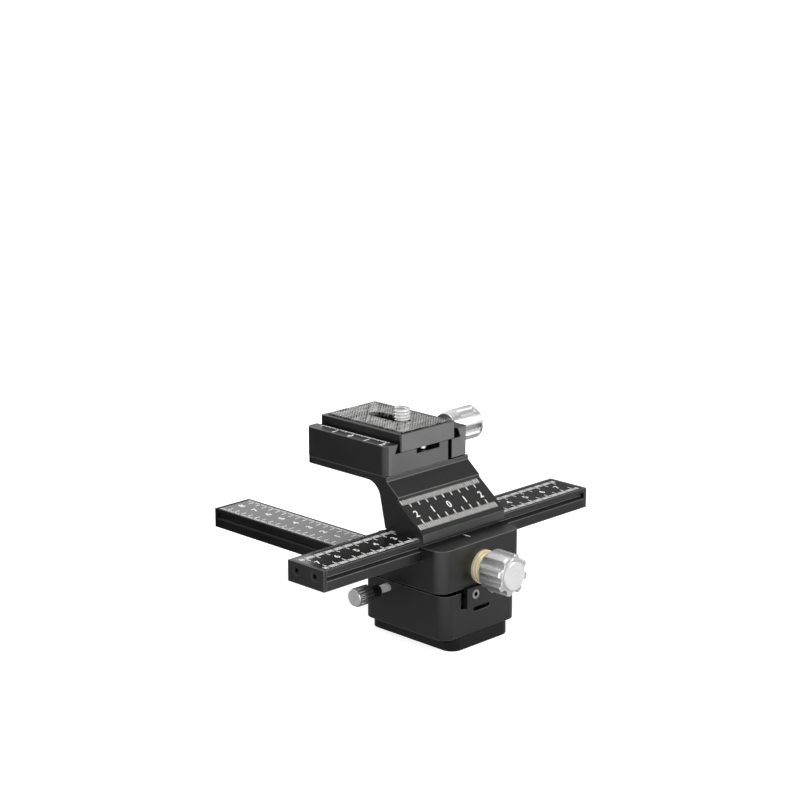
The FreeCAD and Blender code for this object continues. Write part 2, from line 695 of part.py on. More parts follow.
def make_caps(run):
    """Make the two end caps and their four flush socket screws."""
    across = (-half_width, half_width)
    up = (formula(0), rail_height)
    end = run.start + bar_length
    front = run.box(f"{run.name}_front_blank", (run.start - cap_thickness, run.start), across, up)
    rear = run.box(f"{run.name}_rear_blank", (end, end + cap_thickness), across, up)
    front_name, rear_name = {"lower": ("front", "rear"), "upper": ("left", "right")}[run.name]
    for place_name, blank in ((front_name, front), (rear_name, rear)):
        holes = cap_screw_cutters(run, f"{run.name}_{place_name}_cap_holes")
        keep(cut(f"{run.name}_{place_name}_solid", blank, holes), f"{run.name}_{place_name}_cap")

    screws = []
    for index, (start, direction) in enumerate(cap_screw_points(run), start=1):
        name = f"{run.name}_cap_screw_{index}"
        head = cylinder(f"{name}_head", cap_head_radius, cap_head_height, start, direction)
        shank = cylinder(f"{name}_shank", cap_shank_radius, cap_screw_length, start, direction)
        socket = cylinder(f"{name}_socket", socket_radius, socket_depth, start, direction)
        screws.append(cut(name, fuse(f"{name}_solid", head, shank), socket))
    keep(group(f"{run.name}_cap_screw_set", *screws), f"{run.name}_cap_screws")


# ---------------------------------------------------------------- racks and pinions

def rack_section():
    """Return the rack's side view as (along, up) points from the middle of its length."""
    pitch = math.pi * tooth_module.value
    half_tooth = (pitch / 2 - backlash.value) / 2
    flank = math.tan(PRESSURE_ANGLE)
    half_tip = half_tooth - tooth_height.value * flank
    half_root = half_tooth + tooth_root.value * flank
    root = -pitch_drop.value + tooth_root.value
    tip = -pitch_drop.value - tooth_height.value
    half_length = rack_length.value / 2
    each_side = int((half_length - half_root) // pitch)
    points = [(-half_length, root)]
    for index in range(-each_side, each_side + 1):
        middle = index * pitch
        points += [(middle - half_root, root), (middle - half_tip, tip),
                   (middle + half_tip, tip), (middle + half_root, root)]
    points += [(half_length, root), (half_length, rack_seat.value), (-half_length, rack_seat.value)]
    return points


def make_rack(run):
    """Make the toothed rack under a rail, with one tooth over the pinion's axis."""
    middle = drive_place(run).value
    centre = (run.start + bar_length / 2).value
    pitch = math.pi * tooth_module.value
    shift = middle + round((centre - middle) / pitch) * pitch
    corners = []
    for along, up in rack_section():
        corners.append(Vector(*run.order(shift + along, -rack_width.value / 2, run.bottom.value + up)))
    face = Part.Face(Part.makePolygon(corners + corners[:1]))
    rack = DOCUMENT.addObject("Part::Feature", f"{run.name}_rack_solid")
    rack.Shape = face.extrude(Vector(*run.order(0, rack_width.value, 0)))
    keep(rack, f"{run.name}_rack")


def involute_flank(base_radius, radius):
    """Return how far an involute has turned, in radians, at a radius."""
    if radius <= base_radius:
        return 0.0
    pressure = math.acos(base_radius / radius)
    return math.tan(pressure) - pressure


def pinion_section():
    """Return the pinion's end view, with a gap between teeth at +Y of the section."""
    count = int(tooth_count.value)
    pitch_radius = tooth_module.value * count / 2
    base_radius = pitch_radius * math.cos(PRESSURE_ANGLE)
    tip_radius = pitch_radius + tooth_height.value
    root_radius = pitch_radius - tooth_root.value
    half_tooth = (math.pi * tooth_module.value / 2 - backlash.value) / 2 / pitch_radius
    at_pitch = involute_flank(base_radius, pitch_radius)
    radii = [root_radius, base_radius, pitch_radius, (pitch_radius + tip_radius) / 2, tip_radius]
    half_angles = [half_tooth + at_pitch - involute_flank(base_radius, radius) for radius in radii]
    points = []
    for index in range(count):
        middle = math.pi / 2 + (index + 0.5) * 2 * math.pi / count
        rising = [(radius, middle - half) for radius, half in zip(radii, half_angles)]
        falling = [(radius, middle + half) for radius, half in zip(radii, half_angles)]
        for radius, angle in rising + falling[::-1]:
            points.append((radius * math.cos(angle), radius * math.sin(angle)))
    return points


def drive_place(run):
    """Return where a rail's drive shaft crosses it, along the rail."""
    return {"lower": lower_drive_place, "upper": formula(0)}[run.name]


def drive_side(run):
    """Return the side that the drive knob is on: +1 or -1 across the rail."""
    return {"lower": 1, "upper": -1}[run.name]


def outward(run):
    """Return the direction from the rail's middle to the drive knob."""
    return run.across if drive_side(run) > 0 else f"-{run.across}"


def inward(run):
    """Return the direction from the drive knob to the rail's middle."""
    return f"-{run.across}" if drive_side(run) > 0 else run.across


def drive_point(run, out):
    """Return the point on a drive shaft's axis at a distance towards its knob."""
    return run.point(drive_place(run), drive_side(run) * out, -pinion_drop)


def make_pinion_shaft(run, face):
    """Make a pinion shaft: journal, brake collar, teeth, and the shaft into its knob."""
    prefix = f"{run.name}_shaft"
    half_teeth = pinion_width.value / 2
    low = min(drive_side(run) * half_teeth, -drive_side(run) * half_teeth)
    corners = []
    for along, up in pinion_section():
        corners.append(Vector(*run.order(drive_place(run).value + along, low,
                                         (run.bottom - pinion_drop).value + up)))
    teeth = DOCUMENT.addObject("Part::Feature", f"{prefix}_teeth")
    section = Part.Face(Part.makePolygon(corners + corners[:1]))
    teeth.Shape = section.extrude(Vector(*run.order(0, pinion_width.value, 0)))
    collar_start = -(pinion_width / 2 + collar_gap)
    collar = cylinder(f"{prefix}_collar", collar_radius, collar_width,
                      drive_point(run, collar_start), inward(run))
    journal_length = chamber_end + pilot_length - pinion_width / 2
    journal = cylinder(f"{prefix}_journal", pilot_radius, journal_length,
                       drive_point(run, -pinion_width / 2), inward(run))
    outer = face + knob_stand_off + knob_length - disc_thickness - collar_gap
    shaft = cylinder(f"{prefix}_bar", shaft_radius, outer, drive_point(run, formula(0)), outward(run))
    keep(fuse(f"{prefix}_solid", teeth, collar, journal, shaft), f"{run.name}_pinion_shaft")


def drive_cutters(run, face):
    """Make the cutters for a block's drive: the pinion's chamber and the journal's bore."""
    chamber = cylinder(f"{run.name}_chamber", chamber_radius, face + chamber_end,
                       drive_point(run, -chamber_end), outward(run))
    pilot = cylinder(f"{run.name}_pilot", pilot_radius + turn_gap, pilot_length + end_play,
                     drive_point(run, -chamber_end), inward(run))
    return [chamber, pilot]


def make_bushing(run, face):
    """Make the brass bushing that carries a drive shaft in the block's face."""
    prefix = f"{run.name}_bushing"
    inner = pinion_width / 2 + end_play
    barrel = cylinder(f"{prefix}_barrel", chamber_radius - seat_gap, face - inner,
                      drive_point(run, inner), outward(run))
    flange = cylinder(f"{prefix}_flange", bush_flange_radius, bush_flange_width,
                      drive_point(run, face), outward(run))
    nose = cylinder(f"{prefix}_nose", bush_nose_radius, bush_flange_width + bush_nose_length,
                    drive_point(run, face), outward(run))
    bore_length = face + bush_flange_width + bush_nose_length
    bore = cylinder(f"{prefix}_bore", shaft_radius + turn_gap, bore_length,
                    drive_point(run, formula(0)), outward(run))
    groove = cylinder(f"{prefix}_groove", bush_nose_radius + bush_groove_width,
                      bush_groove_depth + OVERRUN,
                      drive_point(run, face + bush_flange_width - bush_groove_depth), outward(run))
    collar = fuse(f"{prefix}_collar", barrel, flange)
    grooved = cut(f"{prefix}_grooved", collar, groove)
    keep(cut(f"{prefix}_piece", fuse(f"{prefix}_solid", grooved, nose), bore),
         f"{run.name}_drive_bushing")


def make_drive_knob(run, face):
    """Make a drive knob with its end disc and the set screw that holds it."""
    prefix = f"{run.name}_knob"
    back = face + knob_stand_off
    front = back + knob_length
    body = fluted_bar(f"{prefix}_ribs", knob_radius, knob_length, knob_flutes, knob_flute_radius,
                      knob_flute_offset, drive_point(run, back), outward(run), knob_flute_turn)
    bevel = cone(f"{prefix}_bevel", knob_radius, knob_radius - knob_chamfer, knob_chamfer,
                 drive_point(run, front - knob_chamfer), outward(run))
    band = cylinder(f"{prefix}_band", knob_radius, knob_length - knob_chamfer - knob_back_taper,
                    drive_point(run, back + knob_back_taper), outward(run))
    taper = cone(f"{prefix}_taper", knob_radius - knob_back_inset, knob_radius, knob_back_taper,
                 drive_point(run, back), outward(run))
    bevelled = DOCUMENT.addObject("Part::MultiCommon", f"{prefix}_bevelled")
    bevelled.Shapes = [body, fuse(f"{prefix}_envelope", taper, band, bevel)]
    bore = cylinder(f"{prefix}_bore", shaft_radius + seat_gap, knob_length - disc_thickness,
                    drive_point(run, back), outward(run))
    disc_seat = cylinder(f"{prefix}_disc_seat", disc_radius + seat_gap, disc_thickness,
                         drive_point(run, front - disc_thickness), outward(run))
    middle = back + knob_length / 2
    x, y, z = drive_point(run, middle)
    tapping = cylinder(f"{prefix}_tapping", set_screw_radius + seat_gap, knob_radius,
                       (x, y, z - knob_radius))
    keep(cut(f"{prefix}_piece", bevelled, bore, disc_seat, tapping), f"{run.name}_drive_knob")
    disc = cylinder(f"{prefix}_disc", disc_radius, disc_thickness + disc_rise,
                    drive_point(run, front - disc_thickness), outward(run))
    keep(disc, f"{run.name}_drive_disc")
    keep(cylinder(f"{prefix}_screw", set_screw_radius, set_screw_length,
                  (x, y, z - shaft_radius - set_screw_length)), f"{run.name}_knob_set_screw")


# ---------------------------------------------------------------- foot and lower block

def make_foot():
    """Make the dovetail foot, its tripod insert and the four screws that hold it."""
    half = foot_width / 2
    half_top = foot_top_width / 2
    corners = [(-half, 0), (half, 0), (half, foot_edge_height), (half_top, foot_height),
               (-half_top, foot_height), (-half, foot_edge_height)]
    foot = extrusion("foot_blank", "XZ", corners, -foot_front, foot_front + foot_back)
    dress(foot, "Fillet", outer_uprights(-half, half, -foot_front, foot_back), Radius=foot_corner)
    insert_seat = cylinder("foot_insert_seat", insert_radius + seat_gap, foot_height + OVERRUN,
                           (formula(0), formula(0), formula(0)))
    holes = screw_holes("foot_screw_holes", foot_screw_places(), "Z", foot_height + screw_grip)
    keep(cut("foot_piece", foot, insert_seat, holes), "base_foot")

    blank = cylinder("insert_blank", insert_radius, insert_length, (formula(0),) * 3)
    thread = cylinder("insert_thread", socket_thread_radius, socket_length, (formula(0),) * 3)
    keep(cut("insert_piece", blank, thread), "tripod_insert")
    screw_set("foot_screws", foot_screw_places(), "Z", foot_height - screw_sink + screw_grip)


def foot_screw_places():
    """Return where the foot's screws enter from below."""
    xs = (-foot_screw_spread, foot_screw_spread)
    return corner_places(xs, (-foot_screw_front, foot_screw_back), screw_sink)


def channel(left_wall, right_wall, floor, top):
    """Return the corners of a rail's channel from its right edge to its left edge.

    A wall is either a lip that follows the rail's side, or an upright wall behind a gib."""
    corners = []
    for side, wall in ((1, right_wall), (-1, left_wall)):
        if wall == "lip":
            edge = [
                (side * (half_width + slide_gap), floor - slide_gap),
                (side * (half_width + slide_gap), floor + shoulder_low + slide_gap),
                (side * (half_neck + slide_gap), floor + shoulder_top + slide_gap),
            ]
            lip_top = floor + neck_top - slide_gap
            if top.value > lip_top.value:
                edge += [(side * (half_neck + slide_gap), lip_top),
                         (side * (half_width + slide_gap), lip_top),
                         (side * (half_width + slide_gap), top)]
            else:
                edge.append((side * (half_neck + slide_gap), top))
        else:
            edge = [(side * gib_outer, floor - slide_gap), (side * gib_outer, top)]
        way = rack_way_width / 2
        edge = [(side * way, floor - slide_gap - rack_way_depth),
                (side * way, floor - slide_gap)] + edge
        corners += edge[::-1] if side > 0 else edge
    return corners


def gib_outline(side, floor, top):
    """Return the section of a gib that hooks over the rail's sloped shoulder."""
    inner = half_width + slide_gap
    hook = half_neck + slide_gap
    outer = gib_outer - slide_gap
    hook_top = floor + neck_top - slide_gap
    if hook_top.value > top.value:
        hook_top = top
    corners = [
        (inner, floor - slide_gap + seat_gap),
        (outer, floor - slide_gap + seat_gap),
        (outer, hook_top),
        (hook, hook_top),
        (hook, floor + shoulder_top + slide_gap),
        (inner, floor + shoulder_low + slide_gap),
    ]
    return [(side * u, v) for u, v in corners]


def make_lower_block():
    """Make the block that carries the lower rail, and its gib on the lock's side."""
    half = lower_width / 2
    top = foot_height + lower_height
    corners = [(-half, foot_height), (half, foot_height), (half, top)]
    corners += channel("gib", "lip", lower_bottom, top)
    corners.append((-half, top))
    depth = lower_front + block_back
    block = extrusion("lower_blank", "XZ", corners, -lower_front, depth)
    dress(block, "Fillet", outer_uprights(-half, half, -lower_front, block_back), Radius=block_corner)
    lock_bore = cylinder("lower_lock_bore", lock_screw_radius + turn_gap,
                         half - gib_outer + OVERRUN,
                         (-half, lock_place, lower_bottom + lock_rise), "X")
    insert_seat = cylinder("block_insert_seat", insert_radius + seat_gap, insert_length + seat_gap,
                           (formula(0),) * 3)
    holes = screw_holes("lower_block_holes", foot_screw_places(), "Z", foot_height + screw_grip)
    cutters = drive_cutters(lower_run, half)
    keep(cut("lower_block_piece", block, lock_bore, insert_seat, holes, *cutters), "lower_block")
    gib = extrusion("lower_gib_solid", "XZ", gib_outline(-1, lower_bottom, top),
                    -lower_front + gib_set_back, depth - 2 * gib_set_back)
    keep(gib, "lower_gib")
    make_bushing(lower_run, half)


# ---------------------------------------------------------------- middle block

def block_screw_places():
    """Return where the screws from the lower rail into the middle block enter."""
    xs = (-screw_spread, screw_spread)
    return corner_places(xs, (-block_screw_front, block_screw_back), lower_bottom + screw_sink)


def make_middle_block():
    """Make the block on the lower rail that carries the upper rail, with its gib."""
    half = middle_width / 2
    top = middle_bottom + middle_height
    corners = [(block_back, middle_bottom), (block_back, top - shoulder_drop)]
    corners += [(middle_shoulder, top - shoulder_drop), (middle_shoulder, top)]
    corners += channel("lip", "gib", upper_bottom, top)
    corners += [(-middle_front, top), (-middle_front, middle_bottom)]
    block = extrusion("middle_blank", "YZ", corners, -half, middle_width)
    dress(block, "Fillet", outer_uprights(-half, half, -middle_front, block_back),
          Radius=block_corner)
    dress(block, "Fillet", outer_uprights(-half, half, -middle_front, middle_shoulder),
          Radius=shoulder_corner)
    wall = block_back - (chamber_end - end_play)
    lock_bore = cylinder("upper_lock_bore", lock_screw_radius + turn_gap, wall,
                         (-upper_lock_shift, block_back, upper_bottom - pinion_drop), "-Y")
    gib_bores = [cylinder(f"upper_gib_bore_{index}", gib_screw_radius + seat_gap,
                          middle_shoulder - gib_outer, gib_screw_point(side, middle_shoulder), "-Y")
                 for index, side in enumerate((-1, 1), start=1)]
    holes = screw_holes("middle_block_holes", block_screw_places(), "Z", rail_height + screw_grip)
    cutters = drive_cutters(upper_run, middle_front)
    keep(cut("middle_block_piece", block, lock_bore, *gib_bores, holes, *cutters), "middle_block")
    screw_set("block_screws", block_screw_places(), "Z", rail_height - screw_sink + screw_grip)
    gib = extrusion("upper_gib_solid", "YZ", gib_outline(1, upper_bottom, top),
                    -half + gib_set_back, middle_width - 2 * gib_set_back)
    keep(gib, "upper_gib")
    gib_screws = [cylinder(f"gib_screw_{index}", gib_screw_radius, gib_screw_length,
                           gib_screw_point(side, gib_outer), "Y")
                  for index, side in enumerate((-1, 1), start=1)]
    keep(group("gib_screw_set", *gib_screws), "upper_gib_screws")
    make_bushing(upper_run, middle_front)


def gib_screw_point(side, depth):
    """Return a point on a gib screw's axis."""
    return side * gib_screw_spread, depth, upper_bottom + gib_screw_rise


# ---------------------------------------------------------------- lock knobs

def make_lock(prefix, direction, contact, bore_length, stem, collar, length, let_in):
    """Make a lock: pad, screw, optional collar, fluted knob and end disc.

    The contact point is where the pad's face rests; the lock runs outward from it."""
    def along(distance):
        step = DIRECTIONS[direction]
        return tuple(place_value + distance * part if part else place_value
                     for place_value, part in zip(contact, step))
    screw_start = lock_contact + lock_pad_length
    knob_start = bore_length + stem + collar
    keep(cylinder(f"{prefix}_pad_solid", lock_pad_radius, lock_pad_length, along(lock_contact),
                  direction), f"{prefix}_lock_pad")
    keep(cylinder(f"{prefix}_screw_solid", lock_screw_radius, knob_start + let_in - screw_start,
                  along(screw_start), direction), f"{prefix}_lock_screw")
    if collar.value:
        ring = cylinder(f"{prefix}_collar_ring", lock_collar_radius, collar,
                        along(bore_length + stem), direction)
        ring_bore = cylinder(f"{prefix}_collar_bore", lock_screw_radius + seat_gap, collar,
                             along(bore_length + stem), direction)
        keep(cut(f"{prefix}_collar_solid", ring, ring_bore), f"{prefix}_lock_collar")
    ribs = fluted_bar(f"{prefix}_lock_ribs", lock_knob_radius, length, lock_flutes,
                      lock_flute_radius, lock_knob_radius + lock_flute_rise,
                      along(knob_start), direction)
    bore = cylinder(f"{prefix}_lock_knob_bore", lock_screw_radius + seat_gap, let_in,
                    along(knob_start), direction)
    keep(cut(f"{prefix}_lock_knob_solid", ribs, bore), f"{prefix}_lock_knob")
    keep(cylinder(f"{prefix}_lock_disc_solid", lock_disc_radius, lock_disc_length,
                  along(knob_start + length), direction), f"{prefix}_lock_disc")


# ---------------------------------------------------------------- riser bracket

def riser_slope():
    """Return the two ends of the scale's slope in the riser's side view."""
    front = -(half_width + lip_gap + lip_thickness)
    low = (front, rim_height + slope_low)
    high = (front + slope_run, rim_height + slope_low + slope_rise)
    return low, high


def make_riser():
    """Make the bracket on the upper rail, and the scale plate on its slope."""
    low, high = riser_slope()
    slope = math.hypot(slope_run.value, slope_rise.value)
    inset_y = scale_thickness * (slope_rise.value / slope)
    inset_z = scale_thickness * (slope_run.value / slope)
    inner_low = (low[0] + inset_y, low[1] - inset_z)
    inner_high = (high[0] + inset_y, high[1] - inset_z)
    ledge = (high[0], high[1] + ledge_rise)
    slant = (clamp_front, ledge[1] + slant_rise)
    shelf_low = shelf_height - shelf_thickness
    web_top = web_foot + web_lean * (shelf_low - rim_height)
    rail_side = -(half_width + lip_gap)
    corners = [
        (low[0], rim_height - lip_drop),
        (rail_side, rim_height - lip_drop),
        (rail_side, rim_height),
        (web_foot, rim_height),
        (web_top, shelf_low),
        (clamp_back, shelf_low),
        (clamp_back, shelf_height),
        (clamp_front, shelf_height),
        slant,
        ledge,
        high,
        inner_high,
        inner_low,
        (low[0], inner_low[1]),
    ]
    half = riser_width / 2
    bracket = extrusion("riser_blank", "YZ", corners, -half, riser_width)

    def inner_corner(first, last):
        at_web = near(first.y, web_top.value) and near(last.y, web_top.value)
        return at_web and near(first.z, shelf_low.value) and near(last.z, shelf_low.value)

    def back_corner(first, last):
        upright = near(first.x, last.x) and near(first.y, last.y)
        return upright and near(first.y, clamp_back.value)

    dress(bracket, "Fillet", inner_corner, Radius=web_round)
    dress(bracket, "Fillet", back_corner, Radius=clamp_corner)
    rail_holes = screw_holes("riser_rail_holes", bracket_screw_places(), "Z",
                             rail_height + bracket_grip)
    shelf_holes = screw_holes("riser_shelf_holes", clamp_bolt_places(), "Z",
                              shelf_thickness + screw_grip)
    keep(cut("riser_piece", bracket, rail_holes, shelf_holes), "riser_bracket")
    screw_set("bracket_screws", bracket_screw_places(), "Z",
              rail_height - screw_sink + bracket_grip)
    plate = extrusion("riser_scale_solid", "YZ", [low, high, inner_high, inner_low], -half,
                      riser_width)
    keep(plate, "riser_scale_plate")


def bracket_screw_places():
    """Return where the screws from the upper rail into the riser enter."""
    xs = (-bracket_screw_spread, bracket_screw_spread)
    return corner_places(xs, (-screw_spread, screw_spread), upper_bottom + screw_sink)


def clamp_bolt_places():
    """Return where the screws from the shelf into the clamp body enter."""
    ys = (clamp_front + clamp_bolt_front, clamp_front + clamp_bolt_back)
    height = shelf_height - shelf_thickness + screw_sink
    return corner_places((-clamp_bolt_left, clamp_bolt_right), ys, height)


# ---------------------------------------------------------------- clamp

clamp_half = clamp_width / 2
jaw_start = clamp_half - jaw_width
body_end = jaw_start - jaw_opening
clamp_axis_z = shelf_height + clamp_screw_rise
clamp_axis_y = clamp_front + clamp_screw_place


def guide_pin_places():
    """Return where the two guide pins stand, front to back."""
    return clamp_front + guide_pin_inset, clamp_back - guide_pin_inset


def make_clamp():
    """Make the fixed clamp body, its screws and the jaw's guide pins."""
    mouth = -mouth_width / 2
    undercut = -undercut_width / 2
    groove = clamp_groove_width / 2
    groove_floor = dovetail_floor - clamp_groove_depth
    corners = [
        (-clamp_half, shelf_height),
        (body_end, shelf_height),
        (body_end, dovetail_floor),
        (groove, dovetail_floor),
        (groove, groove_floor),
        (-groove, groove_floor),
        (-groove, dovetail_floor),
        (undercut, dovetail_floor),
        (mouth, clamp_top),
        (-clamp_half, clamp_top),
    ]
    blank = extrusion("clamp_blank", "XZ", corners, clamp_front, shelf_depth)
    dress(blank, "Fillet", outer_uprights(-clamp_half, clamp_half, clamp_front, clamp_back),
          Radius=clamp_corner)
    thread = cylinder("clamp_thread", clamp_screw_radius + turn_gap,
                      clamp_screw_grip + jaw_opening,
                      (body_end, clamp_axis_y, clamp_axis_z), "-X")
    pin_seats = [cylinder(f"pin_seat_{index}", guide_pin_radius + seat_gap, guide_pin_seat,
                          (body_end, y, clamp_axis_z), "-X")
                 for index, y in enumerate(guide_pin_places(), start=1)]
    bolt_holes = screw_holes("clamp_bolt_holes", clamp_bolt_places(), "Z",
                             shelf_thickness + screw_grip)
    keep(cut("clamp_piece", blank, thread, *pin_seats, bolt_holes), "clamp_body")
    screw_set("clamp_bolts", clamp_bolt_places(), "Z", shelf_thickness - screw_sink + screw_grip)
    pins = [cylinder(f"guide_pin_{index}", guide_pin_radius,
                     guide_pin_seat + jaw_opening + guide_pin_reach,
                     (body_end - guide_pin_seat, y, clamp_axis_z), "X")
            for index, y in enumerate(guide_pin_places(), start=1)]
    keep(group("guide_pin_pair", *pins), "jaw_guide_pins")


def make_jaw():
    """Make the moving jaw, the screw that draws it in, and the clamp knob."""
    corners = [
        (jaw_start, shelf_height + jaw_lift),
        (clamp_half, shelf_height + jaw_lift),
        (clamp_half, clamp_top),
        (mouth_width / 2, clamp_top),
        (undercut_width / 2, dovetail_floor),
        (jaw_start, dovetail_floor),
    ]
    blank = extrusion("jaw_blank", "XZ", corners, clamp_front, shelf_depth)
    dress(blank, "Fillet", outer_uprights(-clamp_half, clamp_half, clamp_front, clamp_back),
          Radius=clamp_corner)
    bore = cylinder("jaw_screw_bore", clamp_screw_radius + turn_gap, jaw_width,
                    (jaw_start, clamp_axis_y, clamp_axis_z), "X")
    pin_bores = [cylinder(f"jaw_pin_bore_{index}", guide_pin_radius + turn_gap,
                          guide_pin_reach + seat_gap, (jaw_start, y, clamp_axis_z), "X")
                 for index, y in enumerate(guide_pin_places(), start=1)]
    keep(cut("jaw_piece", blank, bore, *pin_bores), "clamp_jaw")

    def axis_point(x):
        return x, clamp_axis_y, clamp_axis_z

    washer_start = clamp_half + seat_gap
    washer = cylinder("washer_ring", clamp_washer_radius, clamp_washer_width,
                      axis_point(washer_start), "X")
    washer_bore = cylinder("washer_bore", clamp_screw_radius + seat_gap, clamp_washer_width,
                           axis_point(washer_start), "X")
    keep(cut("washer_piece", washer, washer_bore), "clamp_washer")

    hub_start = washer_start + clamp_washer_width
    cone_start = hub_start + clamp_hub_length
    ribs_start = cone_start + clamp_cone_length
    ribs_end = ribs_start + clamp_knob_length
    hub = cylinder("clamp_hub", clamp_hub_radius, clamp_hub_length, axis_point(hub_start), "X")
    flare = cone("clamp_flare", clamp_cone_radius, clamp_knob_radius, clamp_cone_length,
                 axis_point(cone_start), "X")
    ribs = fluted_bar("clamp_ribs", clamp_knob_radius, clamp_knob_length, clamp_flutes,
                      clamp_flute_radius, clamp_flute_offset, axis_point(ribs_start), "X",
                      clamp_flute_turn)
    rim = cylinder("clamp_rim", clamp_knob_radius, clamp_rim_length,
                   axis_point(ribs_end - clamp_rim_length), "X")
    blind = ribs_end - disc_thickness - collar_gap
    bore = cylinder("clamp_knob_bore", clamp_screw_radius + seat_gap, blind - hub_start,
                    axis_point(hub_start), "X")
    seat = cylinder("clamp_disc_seat", clamp_disc_radius + seat_gap, disc_thickness,
                    axis_point(ribs_end - disc_thickness), "X")
    keep(cut("clamp_knob_piece", fuse("clamp_knob_solid", hub, flare, ribs, rim), bore, seat),
         "clamp_knob")
    keep(cylinder("clamp_disc_solid", clamp_disc_radius, disc_thickness,
                  axis_point(ribs_end - disc_thickness), "X"), "clamp_knob_disc")
    screw_end = body_end - clamp_screw_grip
    keep(cylinder("clamp_screw_solid", clamp_screw_radius, blind - screw_end,
                  axis_point(screw_end), "X"), "clamp_screw")


# ---------------------------------------------------------------- quick release plate

plate_bottom = dovetail_floor + plate_gap
plate_top = clamp_top + plate_rise
plate_front = clamp_front
plate_back = plate_front + plate_length
slot_front = plate_front + slot_start
slot_back = slot_front + slot_length
ledge_height = plate_bottom + under_depth
camera_place = slot_front + slot_width / 2


def slot_cutter(name, width, front, back, low, high):
    """Make the cutter for a slot with round ends that runs along Y."""
    half = width / 2
    bar = box(f"{name}_bar", (-half, half), (front + half, back - half), (low, high))
    ends = [cylinder(f"{name}_end_{index}", half, high - low, (formula(0), y, low))
            for index, y in enumerate((front + half, back - half), start=1)]
    return fuse(name, bar, *ends)


def make_plate():
    """Make the quick release plate, its rubber pad and its two stop screws."""
    half = plate_width / 2
    block = extrusion("plate_blank", "XY", [(-half, plate_front), (half, plate_front),
                                            (half, plate_back), (-half, plate_back)],
                      plate_bottom, plate_top - plate_bottom)
    dress(block, "Fillet", outer_uprights(-half, half, plate_front, plate_back),
          Radius=plate_corner)
    flange = undercut_width / 2 - plate_side_gap
    lean = (undercut_width - mouth_width) / 2 / mouth_depth
    flange_top = plate_bottom + flange_height
    flange_high = flange - lean * flange_height
    corners = [(-flange, plate_bottom), (flange, plate_bottom), (flange_high, flange_top),
               (-flange_high, flange_top)]
    flanges = extrusion("plate_flanges", "XZ", corners, plate_front + flange_set_back,
                        plate_length - 2 * flange_set_back)
    slot = slot_cutter("plate_slot", slot_width, slot_front, slot_back, plate_bottom, plate_top)
    under = slot_cutter("plate_under", under_width, slot_front - under_overrun,
                        slot_back + under_overrun, plate_bottom, ledge_height)
    half_rubber = rubber_width / 2
    seat = box("rubber_seat_cut", (-half_rubber, half_rubber),
               (plate_front + rubber_inset, plate_back - rubber_inset),
               (plate_top - rubber_seat, plate_top))
    stop_bores = [cylinder(f"stop_bore_{index}", stop_shank_radius + seat_gap, stop_shank_length,
                           (formula(0), y, plate_bottom))
                  for index, y in enumerate(stop_places(), start=1)]
    keep(cut("plate_piece", fuse("plate_solid", block, flanges), slot, under, seat, *stop_bores),
         "quick_release_plate")

    rubber = box("rubber_blank", (-half_rubber + seat_gap, half_rubber - seat_gap),
                 (plate_front + rubber_inset + seat_gap, plate_back - rubber_inset - seat_gap),
                 (plate_top - rubber_seat, plate_top + rubber_rise))
    rubber_slot = slot_cutter("rubber_slot", slot_width, slot_front, slot_back,
                              plate_top - rubber_seat, plate_top + rubber_rise)
    keep(cut("rubber_piece", rubber, rubber_slot), "rubber_pad")

    stops = []
    for index, y in enumerate(stop_places(), start=1):
        head = cylinder(f"stop_head_{index}", stop_head_radius, stop_head_height,
                        (formula(0), y, plate_bottom - stop_head_height))
        shank = cylinder(f"stop_shank_{index}", stop_shank_radius, stop_shank_length,
                         (formula(0), y, plate_bottom))
        stops.append(fuse(f"stop_{index}", head, shank))
    keep(group("stop_pair", *stops), "plate_stop_screws")


def stop_places():
    """Return where the plate's two stop screws are, front to back."""
    return plate_front + stop_inset, plate_back - stop_inset


def make_camera_screw():
    """Make the captive camera screw and the washer that it turns in."""
    def axis_point(z):
        return formula(0), camera_place, z

    washer_low = ledge_height - retainer_thickness - seat_gap
    head_low = washer_low - camera_head_height - seat_gap
    washer = cylinder("retainer_ring", retainer_radius, retainer_thickness, axis_point(washer_low))
    washer_bore = cylinder("retainer_bore", camera_neck_radius + turn_gap, retainer_thickness,
                           axis_point(washer_low))
    keep(cut("retainer_piece", washer, washer_bore), "screw_retainer")

    pad_top = plate_top + rubber_rise
    thread_low = pad_top + camera_neck_rise
    tip = pad_top + camera_rise
    head = cylinder("camera_head", camera_head_radius, camera_head_height, axis_point(head_low))
    neck = cylinder("camera_neck", camera_neck_radius, thread_low - head_low, axis_point(head_low))
    thread = cylinder("camera_thread", camera_thread_radius, tip - camera_tip - thread_low,
                      axis_point(thread_low))
    bevel = cone("camera_bevel", camera_thread_radius, camera_thread_radius - camera_tip,
                 camera_tip, axis_point(tip - camera_tip))
    half = coin_slot_width / 2
    reach = camera_head_radius + OVERRUN
    coin_slot = box("coin_slot", (-reach, reach), (camera_place - half, camera_place + half),
                    (head_low, head_low + coin_slot_depth))
    keep(cut("camera_screw_piece", fuse("camera_screw_solid", head, neck, thread, bevel),
             coin_slot),
         "camera_screw")


# ---------------------------------------------------------------- the whole part

def check_document():
    """Stop if any object failed or any piece is not a sound solid."""
    failed = [item.Name for item in DOCUMENT.Objects
              if "Invalid" in item.State or "Error" in item.State]
    if failed:
        raise RuntimeError(f"failed objects: {failed}")
    for piece in PIECES:
        if piece.Shape.isNull() or not piece.Shape.isValid() or not piece.Shape.Solids:
            raise RuntimeError(f"{piece.Label} is not a sound solid")


